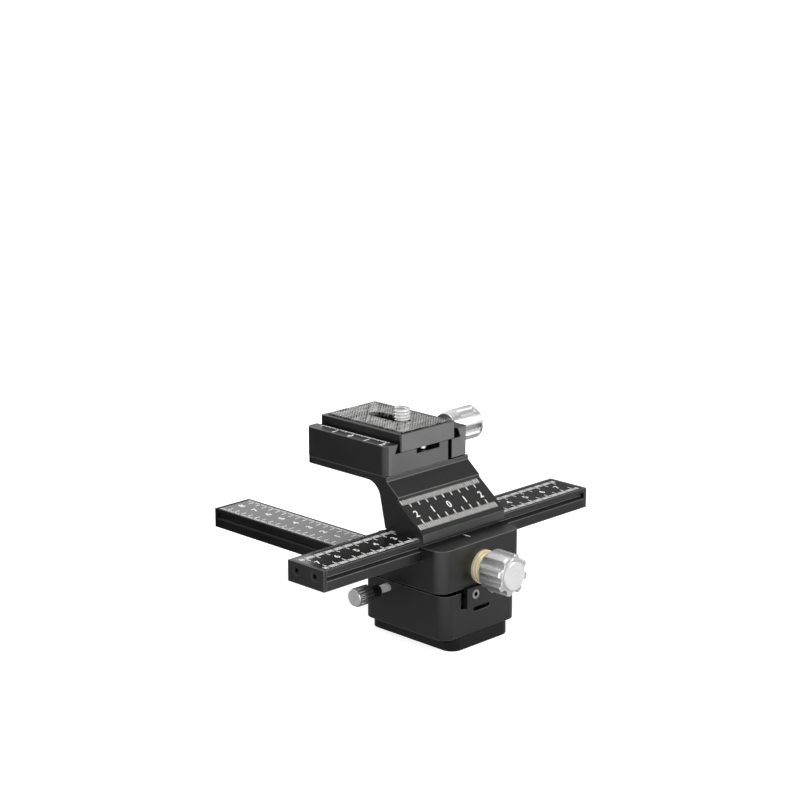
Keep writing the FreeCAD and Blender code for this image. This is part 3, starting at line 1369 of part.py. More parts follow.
def main():
    """Make every piece, check them all and write each to its own file."""
    make_foot()
    make_lower_block()
    make_drive_knob(lower_run, lower_width / 2)
    make_pinion_shaft(lower_run, lower_width / 2)
    lower_contact = (-(gib_outer - slide_gap), lock_place, lower_bottom + lock_rise)
    lower_wall = lower_width / 2 - (gib_outer - slide_gap)
    make_lock("lower", "-X", lower_contact, lower_wall, lock_stem, lock_collar_length,
              lock_knob_length, lock_bore_depth)

    make_rail(lower_run, block_screw_places())
    make_middle_block()
    make_drive_knob(upper_run, middle_front)
    make_pinion_shaft(upper_run, middle_front)
    collar_back = chamber_end - end_play
    upper_contact = (-upper_lock_shift, collar_back, upper_bottom - pinion_drop)
    make_lock("upper", "Y", upper_contact, block_back - collar_back, upper_lock_stem, formula(0),
              upper_lock_length, upper_lock_bore)

    make_rail(upper_run, bracket_screw_places())
    make_riser()
    make_clamp()
    make_jaw()
    make_plate()
    make_camera_screw()
    DOCUMENT.recompute()
    check_document()
    os.makedirs("parts", exist_ok=True)
    for piece in PIECES:
        piece.Shape.exportStep(f"parts/{piece.Label}.step")
    print(f"{len(PIECES)} pieces written")


main()
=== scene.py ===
"""Looks of a two-way macro focusing rail, built around its packed construction model."""

import logging
import math
from contextlib import contextmanager
from dataclasses import dataclass, field, replace
from enum import Enum
from functools import partial
from typing import Any, Callable, Iterator, Sequence

import bpy
from mathutils import Matrix, Vector


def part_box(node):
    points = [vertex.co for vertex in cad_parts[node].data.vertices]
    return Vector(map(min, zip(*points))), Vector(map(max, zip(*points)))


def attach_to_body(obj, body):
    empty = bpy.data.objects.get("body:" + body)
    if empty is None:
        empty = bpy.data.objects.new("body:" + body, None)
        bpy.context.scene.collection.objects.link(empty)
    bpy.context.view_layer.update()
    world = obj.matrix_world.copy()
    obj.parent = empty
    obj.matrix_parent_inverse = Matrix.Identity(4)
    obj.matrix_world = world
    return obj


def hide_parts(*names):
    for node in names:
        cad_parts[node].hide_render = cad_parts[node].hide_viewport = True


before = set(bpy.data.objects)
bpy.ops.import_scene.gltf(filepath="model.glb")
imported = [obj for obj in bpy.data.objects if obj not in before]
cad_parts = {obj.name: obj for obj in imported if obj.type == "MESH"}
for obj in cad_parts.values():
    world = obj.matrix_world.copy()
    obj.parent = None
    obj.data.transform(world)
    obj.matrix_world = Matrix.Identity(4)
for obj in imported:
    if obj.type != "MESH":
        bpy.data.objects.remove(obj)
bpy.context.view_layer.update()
LOG = logging.getLogger("focusing_rail")
MM = 0.001
DIAGONAL = math.sqrt(0.5)
FACING = 0.9  # least share of a normal that counts as looking that way

# Sizes and points on the axes of turned pieces, in millimetres.
CAP_SCREW_OFFSET = 4.95  # end cap screws from the rail's middle
CAP_SOCKET_RADIUS = 0.95
CAP_SOCKET_DEPTH = 0.05  # a socket's faces lie at least this deep
CLAMP_FRONT = 9.6  # the front faces of the clamp and its plate lie before this
UPPER_DRIVE_AXIS = (0.0, 0.0, 31.6)
LOWER_DRIVE_AXIS = (0.0, 11.0, 11.2)
UPPER_LOCK_AXIS = (-3.6, 0.0, 31.6)
LOWER_LOCK_AXIS = (0.0, 11.0, 20.6)
CLAMP_AXIS = (0.0, 32.2, 70.8)
STOP_AXIS = (0.0, 12.86, 0.0)

Piece = bpy.types.Object
Pair = tuple[float, float]
Point = tuple[float, float, float]
Colour = tuple[float, float, float]
FaceTest = Callable[[Vector, Vector], bool]


class Body(Enum):
    """Moving groups of the construction model."""

    BASE = "base"
    LOWER_LOCK = "lower_lock"
    LOWER_DRIVE = "lower_drive"
    LOWER_CARRIAGE = "lower_carriage"
    UPPER_LOCK = "upper_lock"
    UPPER_DRIVE = "upper_drive"
    UPPER_CARRIAGE = "upper_carriage"
    JAW = "jaw"
    CLAMP_TURNER = "clamp_turner"
    PLATE = "plate"
    CAMERA_FIXING = "camera_fixing"


class Slot(Enum):
    """Material slots of the part's record."""

    BLACK = "black_anodised"
    PRINT = "scale_print"
    CLEAR = "clear_anodised"
    GUNMETAL = "gunmetal"
    BRASS = "brass"
    STEEL = "steel"
    NYLON = "nylon"
    RUBBER = "rubber"


class Axis(Enum):
    """Direction of a turned piece's axis."""

    X = 0
    Y = 1
    Z = 2


# ---- shader maths


@dataclass(eq=False)
class Wire:
    """An output socket of a node, on which arithmetic adds Math nodes."""

    graph: "Graph"
    socket: bpy.types.NodeSocket | None

    def _math(self, operation: str, first: Any, second: Any = 0.0) -> "Wire":
        """Adds one Math node."""
        return self.graph.node("ShaderNodeMath", {0: first, 1: second}, operation=operation)

    def __add__(self, other: Any) -> "Wire":
        """Sum."""
        return self._math("ADD", self, other)

    def __radd__(self, other: Any) -> "Wire":
        """Sum, reflected."""
        return self._math("ADD", other, self)

    def __sub__(self, other: Any) -> "Wire":
        """Difference."""
        return self._math("SUBTRACT", self, other)

    def __rsub__(self, other: Any) -> "Wire":
        """Difference, reflected."""
        return self._math("SUBTRACT", other, self)

    def __mul__(self, other: Any) -> "Wire":
        """Product."""
        return self._math("MULTIPLY", self, other)

    def __rmul__(self, other: Any) -> "Wire":
        """Product, reflected."""
        return self._math("MULTIPLY", other, self)

    def root(self) -> "Wire":
        """Square root."""
        return self._math("SQRT", self)

    def within(self, low: float, high: float) -> "Wire":
        """Maps the stretch from low to high onto 0 to 1, clamped and eased."""
        return self.graph.node("ShaderNodeMapRange", {"Value": self, "From Min": low, "From Max": high},
                               interpolation_type="SMOOTHSTEP")


@dataclass(eq=False)
class Graph:
    """Node tree of a material or of the world."""

    tree: bpy.types.NodeTree

    def __post_init__(self) -> None:
        """Empties the tree."""
        self.tree.nodes.clear()

    @staticmethod
    def _socket(sockets: Any, key: int | str) -> bpy.types.NodeSocket:
        """Finds a socket by its place, identifier or name.

        Args:
            sockets: the node's inputs or outputs.
            key: place, identifier or name.

        Returns:
            The socket.
        """
        if isinstance(key, int):
            return sockets[key]
        return next((s for s in sockets if s.identifier == key), None) or sockets[key]

    def node(self, kind: str, values: dict[int | str, Any] | None = None, out: int | str = 0,
             **settings: Any) -> Wire:
        """Adds one node.

        Args:
            kind: the node's type.
            values: values or wires of its sockets.
            out: the output that is returned.
            settings: its properties, set first.

        Returns:
            The chosen output's wire.
        """
        made = self.tree.nodes.new(kind)
        for name, value in settings.items():
            setattr(made, name, value)
        for key, value in (values or {}).items():
            socket = self._socket(made.inputs, key)
            if isinstance(value, Wire):
                self.tree.links.new(value.socket, socket)
            elif socket.type == "RGBA" and len(value) == 3:
                socket.default_value = (*value, 1.0)
            else:
                socket.default_value = value
        return Wire(self, self._socket(made.outputs, out)) if len(made.outputs) else Wire(self, None)

    def place(self, centre: Point = (0.0, 0.0, 0.0), stretch: Point = (1.0, 1.0, 1.0)) -> Wire:
        """Gives the point on the piece, from a centre, stretched.

        Args:
            centre: origin of the pattern in metres.
            stretch: factor along each axis.

        Returns:
            Wire with the point.
        """
        point = self.node("ShaderNodeTexCoord", out="Object")
        offset = tuple(-c * s for c, s in zip(centre, stretch))
        return self.node("ShaderNodeMapping", {"Vector": point, "Location": offset, "Scale": stretch})

    def split(self, point: Wire) -> tuple[Wire, Wire, Wire]:
        """X, Y and Z of a point."""
        return tuple(self.node("ShaderNodeSeparateXYZ", {"Vector": point}, i) for i in range(3))

    def noise(self, point: Wire, scale: float, detail: float = 2.0, roughness: float = 0.5) -> Wire:
        """Noise from 0 to 1."""
        return self.node("ShaderNodeTexNoise", {
            "Vector": point, "Scale": scale, "Detail": detail, "Roughness": roughness}, "Fac")

    def blend(self, factor: Any, first: Any, second: Any) -> Wire:
        """Mixes two colours."""
        return self.node("ShaderNodeMix", {"Factor_Float": factor, "A_Color": first, "B_Color": second},
                         "Result_Color", data_type="RGBA")

    def bump(self, height: Wire, depth: float, strength: float = 1.0) -> Wire:
        """Turns a height into a normal."""
        return self.node("ShaderNodeBump", {"Height": height, "Distance": depth, "Strength": strength})


@dataclass(frozen=True)
class Finish:
    """A surface finish, made a material once."""

    name: str

    def paint(self, graph: Graph) -> dict[str, Any]:
        """Builds the finish's nodes."""
        raise NotImplementedError

    def material(self) -> bpy.types.Material:
        """Gives the finish's material.

        Returns:
            The material, made on the first call.
        """
        if self.name in bpy.data.materials:
            return bpy.data.materials[self.name]
        material = bpy.data.materials.new(self.name)
        material.use_nodes = True
        graph = Graph(material.node_tree)
        shader = graph.node("ShaderNodeBsdfPrincipled", self.paint(graph))
        graph.node("ShaderNodeOutputMaterial", {"Surface": shader})
        return material


def grey(level: float) -> Colour:
    """A neutral colour of that linear level."""
    return (level, level, level)


@dataclass(frozen=True)
class BlackAnodised(Finish):
    """Satin black anodised aluminium: bead-blasted grain, faint draw lines and handling haze."""

    dark: Colour = (0.0035, 0.0035, 0.0038)
    light: Colour = (0.0105, 0.0103, 0.0101)
    roughness: float = 0.36
    specular: float = 0.5
    grain: float = 5200.0
    depth: float = 0.00002
    stretch: Point = (1.0, 1.0, 1.0)

    def paint(self, graph: Graph) -> dict[str, Any]:
        """Grain, draw lines and haze.

        Args:
            graph: graph to add them to.

        Returns:
            The shader's sockets.
        """
        point = graph.place(stretch=self.stretch)
        grain = graph.noise(point, self.grain, 2.0)
        haze = graph.noise(graph.place(), 55.0, 3.0, 0.6)
        tone = (grain * 0.55 + haze * 0.45).within(0.25, 0.75)
        return {
            "Base Color": graph.blend(tone, self.dark, self.light),
            "Roughness": self.roughness + (haze - 0.5) * 0.16 + (grain - 0.5) * 0.10,
            "Specular IOR Level": self.specular,
            "Normal": graph.bump(grain, self.depth, 0.6),
        }


@dataclass(frozen=True)
class TurnedMetal(Finish):
    """Metal turned on a lathe: fine concentric lines round its axis."""

    colour: Colour = (0.62, 0.62, 0.62)
    shade: Colour = (0.5, 0.5, 0.505)
    roughness: float = 0.3
    axis: Axis = Axis.Y
    centre: Point = (0.0, 0.0, 0.0)
    lines: float = 5200.0
    depth: float = 0.000012
    metallic: float = 1.0

    def paint(self, graph: Graph) -> dict[str, Any]:
        """Concentric lines by the distance from the axis, with a light haze.

        Args:
            graph: graph to add them to.

        Returns:
            The shader's sockets.
        """
        point = graph.place(tuple(c * MM for c in self.centre))
        parts = graph.split(point)
        along = parts[self.axis.value]
        first, second = (part for part in parts if part is not along)
        radius = (first * first + second * second).root()
        ring = graph.node("ShaderNodeCombineXYZ", {"X": radius, "Y": along * 0.6, "Z": 0.0})
        line = graph.noise(ring, self.lines, 3.0, 0.6)
        haze = graph.noise(point, 160.0, 3.0, 0.6)
        tone = (line * 0.6 + haze * 0.4).within(0.3, 0.7)
        return {
            "Base Color": graph.blend(tone, self.shade, self.colour),
            "Metallic": self.metallic,
            "Roughness": self.roughness + (line - 0.5) * 0.2 + (haze - 0.5) * 0.1,
            "Normal": graph.bump(line, self.depth, 0.5),
        }


@dataclass(frozen=True)
class Flecked(Finish):
    """One colour with a fine fleck, or brushing where it is stretched."""

    colour: Colour
    shares: Pair
    roughness: float
    spread: float
    specular: float
    cells: float
    detail: Pair
    bump: Pair
    stretch: Point = (1.0, 1.0, 1.0)

    def paint(self, graph: Graph) -> dict[str, Any]:
        """The colour between its darkest and its lightest share.

        Args:
            graph: graph to add it to.

        Returns:
            The shader's sockets.
        """
        fleck = graph.noise(graph.place(stretch=self.stretch), self.cells, *self.detail)
        dark, light = (tuple(c * share for c in self.colour) for share in self.shares)
        return {
            "Base Color": graph.blend(fleck.within(0.3, 0.7), dark, light),
            "Roughness": self.roughness + (fleck - 0.5) * self.spread,
            "Specular IOR Level": self.specular,
            "Normal": graph.bump(fleck, *self.bump),
        }


@dataclass(frozen=True)
class PadRubber(Finish):
    """Grey-black glossy rubber with painted sheen: a light grey on the ribs' crests and in broken streaks
    along them, where the coat is glossier too.
    """

    dark: Colour = (0.006, 0.006, 0.006)
    bloom: Colour = (0.4, 0.4, 0.39)
    crest: float = 82.3
    groove: float = 0.5
    rib_turn: float = 42.0

    def paint(self, graph: Graph) -> dict[str, Any]:
        """Painted sheen by height and in streaks along the ribs, a glossier coat in the streaks, and a fine
        pebble.

        Args:
            graph: graph to add them to.

        Returns:
            The shader's sockets.
        """
        turn = math.radians(self.rib_turn)
        along = graph.node("ShaderNodeMapping", {
            "Vector": graph.place(), "Rotation": (0.0, 0.0, -turn), "Scale": (0.16, 1.0, 1.0)})
        streak = graph.noise(along, 900.0, 3.0, 0.65)
        pebble = graph.noise(graph.place(), 2600.0, 2.0)
        _, _, height = graph.split(graph.place())
        crest_sheen = height.within((self.crest - self.groove) * MM, self.crest * MM)
        gloss_and_sheen = streak.within(0.42, 0.58)
        return {
            # Base colour: painted sheen, lighter on the crests and in the streaks.
            "Base Color": graph.blend(crest_sheen * 0.5 + gloss_and_sheen * 0.5, self.dark, self.bloom),
            "Roughness": 0.4 + (pebble - 0.5) * 0.2,
            "Specular IOR Level": 0.1,
            "Coat Weight": gloss_and_sheen,
            "Coat Roughness": 0.12,
            "Normal": graph.bump(streak * 0.85 + pebble * 0.15, 0.0003, 1.0),
        }


@dataclass(frozen=True)
class Moulded(Finish):
    """Moulded nylon with a faint flow texture."""

    colour: Colour = (0.7, 0.68, 0.62)

    def paint(self, graph: Graph) -> dict[str, Any]:
        """Flow marks.

        Args:
            graph: graph to add them to.

        Returns:
            The shader's sockets.
        """
        flow = graph.noise(graph.place(stretch=(1.0, 1.0, 3.0)), 700.0, 2.0)
        return {
            "Base Color": graph.blend(flow, tuple(c * 0.85 for c in self.colour), self.colour),
            "Roughness": 0.45 + (flow - 0.5) * 0.15,
            "Normal": graph.bump(flow, 0.00002, 0.4),
        }


BLOCK_BLACK = BlackAnodised("block_black")
# The foot: a darker, duller black than the blocks, painted shade under their overhang.
FOOT_SHADE_BLACK = BlackAnodised("foot_painted_shade_black", grey(0.002), grey(0.006), 0.42, specular=0.25)
# Upward faces and edges of the lower rail and its caps: a darker, duller black, painted shade.
RIM_SHADE_BLACK = BlackAnodised("painted_shade_rim_black", grey(0.002), grey(0.005), 0.5, specular=0.1)
# Painted shade: near-black inside the screw sockets and on the faces in the gap between the blocks.
SHADE_BLACK = BlackAnodised("painted_shade_black", grey(0.001), grey(0.003), 0.6, specular=0.05)
# Broken edges of the black parts: a lighter black, a painted highlight along every edge.
EDGE_HIGHLIGHT_BLACK = BlackAnodised("worn_edge_black", grey(0.045), grey(0.09), 0.3, specular=0.6)
# Front faces of the clamp, jaw, plate, riser lip and shelf: lighter greys, painted light standing in for
# their bright reflection.
CLAMP_LIT_FRONT = BlackAnodised("painted_light_clamp_front", grey(0.08), grey(0.15), 0.42, grain=4200.0)
PLATE_LIT_FRONT = BlackAnodised("painted_light_plate_front", grey(0.12), grey(0.2), 0.42, grain=4200.0)
# The plate's broken edges: a pale grey, painted highlight.
PLATE_EDGE_HIGHLIGHT = BlackAnodised("bright_plate_edge", grey(0.28), grey(0.45), 0.34, grain=4200.0)
SHELF_LIT_FRONT = BlackAnodised("painted_light_shelf_front", grey(0.03), grey(0.065), 0.4, grain=4200.0)
RAIL_BLACK_X = BlackAnodised("drawn_rail_black_x", stretch=(0.05, 1.0, 1.0), roughness=0.34)
RAIL_BLACK_Y = BlackAnodised("drawn_rail_black_y", stretch=(1.0, 0.05, 1.0), roughness=0.34)
FOIL_X = Flecked("scale_foil_x", grey(0.006), (0.7, 1.4), roughness=0.17, spread=0.08, specular=0.85,
                 cells=3600.0, detail=(3.0, 0.6), bump=(0.000004, 0.25), stretch=(0.03, 1.0, 1.0))
FOIL_Y = replace(FOIL_X, name="scale_foil_y", stretch=(1.0, 0.03, 1.0))
INK = Flecked("white_ink", (0.9, 0.9, 0.885), (0.86, 1.0), roughness=0.5, spread=0.2, specular=0.5,
              cells=3800.0, detail=(2.0, 0.5), bump=(0.00001, 0.3))
RUBBER = PadRubber("pad_rubber")
NYLON = Moulded("nylon_white")


# ---- workshop


def deselect() -> None:
    """Leaves edit mode and deselects everything."""
    if bpy.context.object and bpy.context.object.mode != "OBJECT":
        bpy.ops.object.mode_set(mode="OBJECT")
    bpy.ops.object.select_all(action="DESELECT")


def take(piece: Piece) -> None:
    """Selects one object alone and makes it active.

    Args:
        piece: the object.
    """
    deselect()
    piece.select_set(True)
    bpy.context.view_layer.objects.active = piece


@contextmanager
def editing(piece: Piece, mode: str = "FACE") -> Iterator[None]:
    """Opens a mesh for editing with nothing selected.

    Args:
        piece: object to edit.
        mode: VERT, EDGE or FACE.
    """
    take(piece)
    bpy.ops.object.mode_set(mode="EDIT")
    bpy.ops.mesh.select_mode(type=mode)
    bpy.ops.mesh.select_all(action="DESELECT")
    yield
    bpy.ops.object.mode_set(mode="OBJECT")


def settle(piece: Piece) -> Piece:
    """Moves an object's place, turn and scale into its mesh.

    Args:
        piece: the object.

    Returns:
        The same object.
    """
    take(piece)
    bpy.ops.object.transform_apply(location=True, rotation=True, scale=True)
    return piece


def finish_modifier(piece: Piece, kind: str, **settings: Any) -> None:
    """Adds one modifier and applies it.

    Args:
        piece: object to change.
        kind: the modifier's type.
        settings: its settings.
    """
    take(piece)
    modifier = piece.modifiers.new(kind.lower(), kind)
    for name, value in settings.items():
        setattr(modifier, name, value)
    bpy.ops.object.modifier_apply(modifier=modifier.name)


def smooth(piece: Piece, degrees: float = 32.0) -> None:
    """Shades a piece smooth up to an angle and keeps its flat faces flat.

    Args:
        piece: the piece.
        degrees: that angle.
    """
    take(piece)
    bpy.ops.object.shade_smooth_by_angle(angle=math.radians(degrees))
    finish_modifier(piece, "WEIGHTED_NORMAL", keep_sharp=True)


def dress(piece: Piece, *finishes: Finish) -> None:
    """Gives a piece its materials, one per slot.

    Args:
        piece: the piece.
        finishes: their finishes, in the slots' order.
    """
    piece.data.materials.clear()
    for finish in finishes:
        piece.data.materials.append(finish.material())


def block(name: str, low: Point, high: Point) -> Piece:
    """Adds a box between two corners in millimetres.

    Args:
        name: the piece's name.
        low: lowest corner.
        high: highest corner.

    Returns:
        The box, its place in its mesh.
    """
    deselect()
    centre = [(a + b) / 2 * MM for a, b in zip(low, high)]
    sides = [(b - a) * MM for a, b in zip(low, high)]
    bpy.ops.mesh.primitive_cube_add(size=1.0, location=centre, scale=sides)
    piece = bpy.context.object
    piece.name = name
    return settle(piece)


def join(name: str, pieces: Sequence[Piece]) -> Piece:
    """Joins meshes into one object.

    Args:
        name: name of the joined piece.
        pieces: what to join.

    Returns:
        The joined object.
    """
    take(pieces[0])
    for piece in pieces[1:]:
        piece.select_set(True)
    bpy.ops.object.join()
    made = bpy.context.object
    made.name = name
    return made


def attach(piece: Piece, body: Body, slot: Slot, *nodes: str) -> None:
    """Lets a piece ride on its body and stand for its nodes.

    Args:
        piece: the finished piece.
        body: body that carries it.
        slot: record slot of its finish; not used.
        nodes: nodes that it stands for.
    """
    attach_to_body(piece, body.value)
    if nodes:
        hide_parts(*nodes)
    LOG.info("%s rides on %s with %d faces", piece.name, body.value, len(piece.data.polygons))


@dataclass(frozen=True)
class Softening:
    """How the edges of a machined piece are broken."""

    width: float
    segments: int = 2
    angle: float = 32.0
    weld: float = 0.002

    def copy(self, node: str, name: str) -> Piece:
        """Copies a node and breaks its sharp edges.

        Args:
            node: node to copy.
            name: name of the copy.

        Returns:
            The copy, with its broken edges in the second material slot.
        """
        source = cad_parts[node]
        deselect()
        piece = bpy.data.objects.new(name, source.data.copy())
        bpy.context.scene.collection.objects.link(piece)
        # The broken edges take the lighter black of the painted edge highlight.
        dress(piece, BLOCK_BLACK, EDGE_HIGHLIGHT_BLACK)
        take(piece)
        bpy.ops.mesh.customdata_custom_splitnormals_clear()
        with editing(piece, "VERT"):
            bpy.ops.mesh.select_all(action="SELECT")
            bpy.ops.mesh.remove_doubles(threshold=self.weld * MM)
            bpy.ops.mesh.dissolve_limited(angle_limit=math.radians(1.0))
        finish_modifier(piece, "BEVEL", limit_method="ANGLE", angle_limit=math.radians(self.angle),
                        width=self.width * MM, segments=self.segments, use_clamp_overlap=False,
                        material=1)
        smooth(piece)
        return piece

    def machine(self, node: str, body: Body, *finishes: Finish, slot: Slot = Slot.BLACK, name: str = "",
                patches: dict[Finish, FaceTest] | None = None) -> None:
        """Makes a machined piece from a node: softened, dressed and attached.

        Args:
            node: node to copy.
            body: body that carries it.
            finishes: finishes of its faces and its edges, where not the blocks' black.
            slot: record slot of its finish.
            name: its name, where not made from the node's.
            patches: finishes of some of its faces, and which.
        """
        piece = self.copy(node, name or f"{node}_softened")
        if finishes:
            dress(piece, *finishes)
        for finish, test in (patches or {}).items():
            recolour(piece, finish, test)
        attach(piece, body, slot, node)


def everywhere(centre: Vector, normal: Vector) -> bool:
    """Passes every face."""
    return True


def upward(centre: Vector, normal: Vector) -> bool:
    """Passes the faces that look up."""
    return normal.z > FACING


def clamp_front(centre: Vector, normal: Vector) -> bool:
    """Passes the front faces of the clamp and its plate."""
    return normal.y < -FACING and centre.y < CLAMP_FRONT


def recolour(piece: Piece, finish: Finish, test: FaceTest) -> None:
    """Gives the faces that pass a test a finish of their own.

    Args:
        piece: the piece.
        finish: their finish.
        test: called with centre in millimetres and normal.
    """
    piece.data.materials.append(finish.material())
    index = len(piece.data.materials) - 1
    for polygon in piece.data.polygons:
        if polygon.material_index == 0 and test(polygon.center / MM, polygon.normal):
            polygon.material_index = index


def keep_node(node: str, finish: Finish, slot: Slot) -> None:
    """Dresses a construction node whose shape is right.

    Args:
        node: the node.
        finish: its finish.
        slot: record slot of the finish; not used.
    """
    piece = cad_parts[node]
    for index in range(len(piece.material_slots)):
        piece.material_slots[index].link = "OBJECT"
        piece.material_slots[index].material = finish.material()
    LOG.info("%s keeps its shape and takes %s", node, finish.name)


def keep_steel(node: str, axis: Axis, centre: Point = (0.0, 0.0, 0.0), **settings: Any) -> None:
    """Dresses a construction node as turned steel."""
    keep_node(node, TurnedMetal(f"{node}_steel", axis=axis, centre=centre, **settings), Slot.STEEL)


def dress_cap_screws(node: str, body: Body, axis: Axis, head: Finish) -> None:
    """Dresses the cap screws of a rail, their sockets painted black as shade.

    Args:
        node: the screws' node.
        body: body that carries them.
        axis: the screws' direction.
        head: finish of their heads.
    """
    low, high = (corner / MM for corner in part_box(node))
    aside = Axis.X if axis is Axis.Y else Axis.Y

    def in_socket(centre: Vector, normal: Vector) -> bool:
        """Passes the faces inside a socket.

        Args:
            centre: the face's centre in millimetres.
            normal: its normal.

        Returns:
            Whether it passes.
        """
        reach = math.hypot(abs(centre[aside.value]) - CAP_SCREW_OFFSET, centre.z - (low.z + high.z) / 2)
        depth = min(centre[axis.value] - low[axis.value], high[axis.value] - centre[axis.value])
        return reach < CAP_SOCKET_RADIUS and depth > CAP_SOCKET_DEPTH

    # The faces inside the sockets take painted shade.
    Softening(0.05).machine(node, body, head, head, slot=Slot.STEEL, patches={SHADE_BLACK: in_socket})


# ---- sub-assemblies


@dataclass
class Foot:
    """Dovetail foot under the lower block, with its insert and screws."""

    softening: Softening = Softening(0.18)

    def build(self) -> None:
        """Makes the foot's pieces."""
        # The foot takes the darker black of painted shade; its edges take the painted highlight.
        self.softening.machine("base_foot", Body.BASE, FOOT_SHADE_BLACK, EDGE_HIGHLIGHT_BLACK, name="foot_softened")
        keep_steel("tripod_insert", Axis.Z)
        keep_steel("foot_screws", Axis.Z, shade=grey(0.3))


@dataclass
class Blocks:
    """Lower and middle slide blocks with their gibs and hidden screws."""

    softening: Softening = Softening(0.25)
    gap: Pair = (20.0, 28.0)
    top: float = 42.2
    mark_from: float = -13.4
    mark_to: float = -9.95
    mark_width: float = 0.5
    mark_height: float = 0.02
    mark_corner: float = 0.2

    def build(self) -> None:
        """Makes both blocks, the faces in the gap between them painted black as shade, and the index mark."""
        low, high = self.gap
        # The lower block's top and the middle block's bottom, in the gap, take painted shade.
        self.softening.machine("lower_block", Body.BASE, patches={
            SHADE_BLACK: lambda centre, normal: normal.z > FACING and centre.z > low})
        self.softening.machine("middle_block", Body.LOWER_CARRIAGE, patches={
            SHADE_BLACK: lambda centre, normal: normal.z < -FACING and centre.z < high})
        keep_node("lower_gib", RAIL_BLACK_Y, Slot.BLACK)
        keep_node("upper_gib", RAIL_BLACK_X, Slot.BLACK)
        keep_steel("block_screws", Axis.Z)
        keep_steel("upper_gib_screws", Axis.Y)
        self.index_mark()

    def index_mark(self) -> None:
        """Lays the white index dash on the middle block's top, beside the upper rail."""
        mark = block("index_mark", (-self.mark_width / 2, self.mark_from, self.top),
                     (self.mark_width / 2, self.mark_to, self.top + self.mark_height))
        finish_modifier(mark, "BEVEL", width=self.mark_corner * MM, segments=4, affect="EDGES",
                        limit_method="ANGLE")
        dress(mark, INK)
        attach(mark, Body.LOWER_CARRIAGE, Slot.PRINT)


@dataclass
class ScalePrint:
    """White print on a flat plate: rows of strokes, and figures between them."""

    name: str
    body: Body
    turn: Matrix
    glyph: float
    bold: float = 0.06
    height: float = 0.02
    parts: list[Piece] = field(default_factory=list)

    def strokes(self, count: int, pitch: float, width: float, ends: Sequence[float],
                first: float | None = None) -> None:
        """Adds a row of equal strokes in the plate's own plane, in millimetres.

        Args:
            count: number of strokes.
            pitch: distance between them along the plate.
            width: width of a stroke.
            ends: its two ends across the plate.
            first: middle of the first stroke, where the row isn't centred.
        """
        start = -(count - 1) / 2 * pitch if first is None else first
        left, right = start - width / 2, start + width / 2
        row = block("strokes", (left, min(ends), 0.0), (right, max(ends), self.height))
        finish_modifier(row, "ARRAY", count=count, use_relative_offset=False, use_constant_offset=True,
                        constant_offset_displace=(pitch * MM, 0.0, 0.0))
        self.parts.append(row)

    def figure(self, number: int, along: float, across: float, turned: float = 0.0) -> None:
        """Adds one figure in the plate's own plane, in millimetres.

        Args:
            number: what it says.
            along: its middle along the plate.
            across: its middle across the plate.
            turned: turn in the plane, in radians.
        """
        deselect()
        bpy.ops.object.text_add(location=(along * MM, across * MM, 0.0), rotation=(0.0, 0.0, turned))
        letter = bpy.context.object
        letter.data.body = str(number)
        letter.data.align_x = "CENTER"
        letter.data.align_y = "CENTER"
        letter.data.size = self.glyph * MM
        letter.data.resolution_u = 4
        letter.data.offset = self.bold * MM
        letter.data.extrude = self.height * MM
        bpy.ops.object.convert(target="MESH")
        self.parts.append(settle(bpy.context.object))

    def lay(self) -> None:
        """Joins the print, brings it onto its plate and lets it ride."""
        made = join(self.name, self.parts)
        made.data.transform(self.turn)
        made.data.update()
        dress(made, INK)
        attach(made, self.body, Slot.PRINT)


def plane_turn(origin: Point, along: Point, up: Point = (0.0, 0.0, 1.0)) -> Matrix:
    """Matrix that brings a flat print onto its plate.

    Args:
        origin: the plate's origin in millimetres.
        along: direction of the print's length.
        up: the plate's normal.

    Returns:
        The matrix in metres.
    """
    first = Vector(along).normalized()
    third = Vector(up).normalized()
    second = third.cross(first)
    turn = Matrix((first, second, third)).transposed().to_4x4()
    return Matrix.Translation(Vector(origin) * MM) @ turn


@dataclass
class LowerRail:
    """Lower rail with its caps, scale and hidden rack."""

    top: float = 24.8
    middle: float = 53.5
    unit: float = 8.64
    edge_length: float = 146.2
    reaches: tuple[float, float, float, float] = (8.55, 7.85, 7.25, 4.35)
    fine_count: int = 169
    fine_width: float = 0.4
    long_count: int = 33
    long_width: float = 0.52
    largest: int = 8
    figure_place: float = -0.6
    softening: Softening = Softening(0.16)

    def build(self) -> None:
        """Makes the rail, its caps and its print."""
        # Upward faces and broken edges take the darker black of painted shade.
        shaded_tops = {RIM_SHADE_BLACK: upward}
        for node, patches in (("lower_rail", {**shaded_tops, RAIL_BLACK_Y: everywhere}),
                              ("lower_front_cap", shaded_tops), ("lower_rear_cap", shaded_tops)):
            self.softening.machine(node, Body.LOWER_CARRIAGE, BLOCK_BLACK, RIM_SHADE_BLACK, patches=patches)
        keep_node("lower_scale_plate", FOIL_Y, Slot.PRINT)
        keep_steel("lower_rack", Axis.Y)
        dress_cap_screws("lower_cap_screws", Body.LOWER_CARRIAGE, Axis.Y, TurnedMetal(
            "cap_screw_lower", colour=grey(0.42), shade=grey(0.3), axis=Axis.Y, metallic=0.5))
        self.print_scale()

    def print_scale(self) -> None:
        """Figures 8 to 0 to 8 and half-unit strokes between fine edge strips."""
        turn = plane_turn((0.0, self.middle, self.top), (0.0, 1.0, 0.0))
        scale = ScalePrint("lower_scale_print", Body.LOWER_CARRIAGE, turn, glyph=4.6, bold=0.16)
        for side in (-1.0, 1.0):
            outer, edge, fine, tip = (side * reach for reach in self.reaches)
            scale.strokes(1, 0.0, self.edge_length, (outer, edge))
            scale.strokes(self.fine_count, self.unit / 10, self.fine_width, (outer, fine))
            scale.strokes(self.long_count, self.unit / 2, self.long_width, (outer, tip))
        for step in range(-self.largest, self.largest + 1):
            scale.figure(abs(step), step * self.unit, self.figure_place, -math.pi / 2)
        scale.lay()


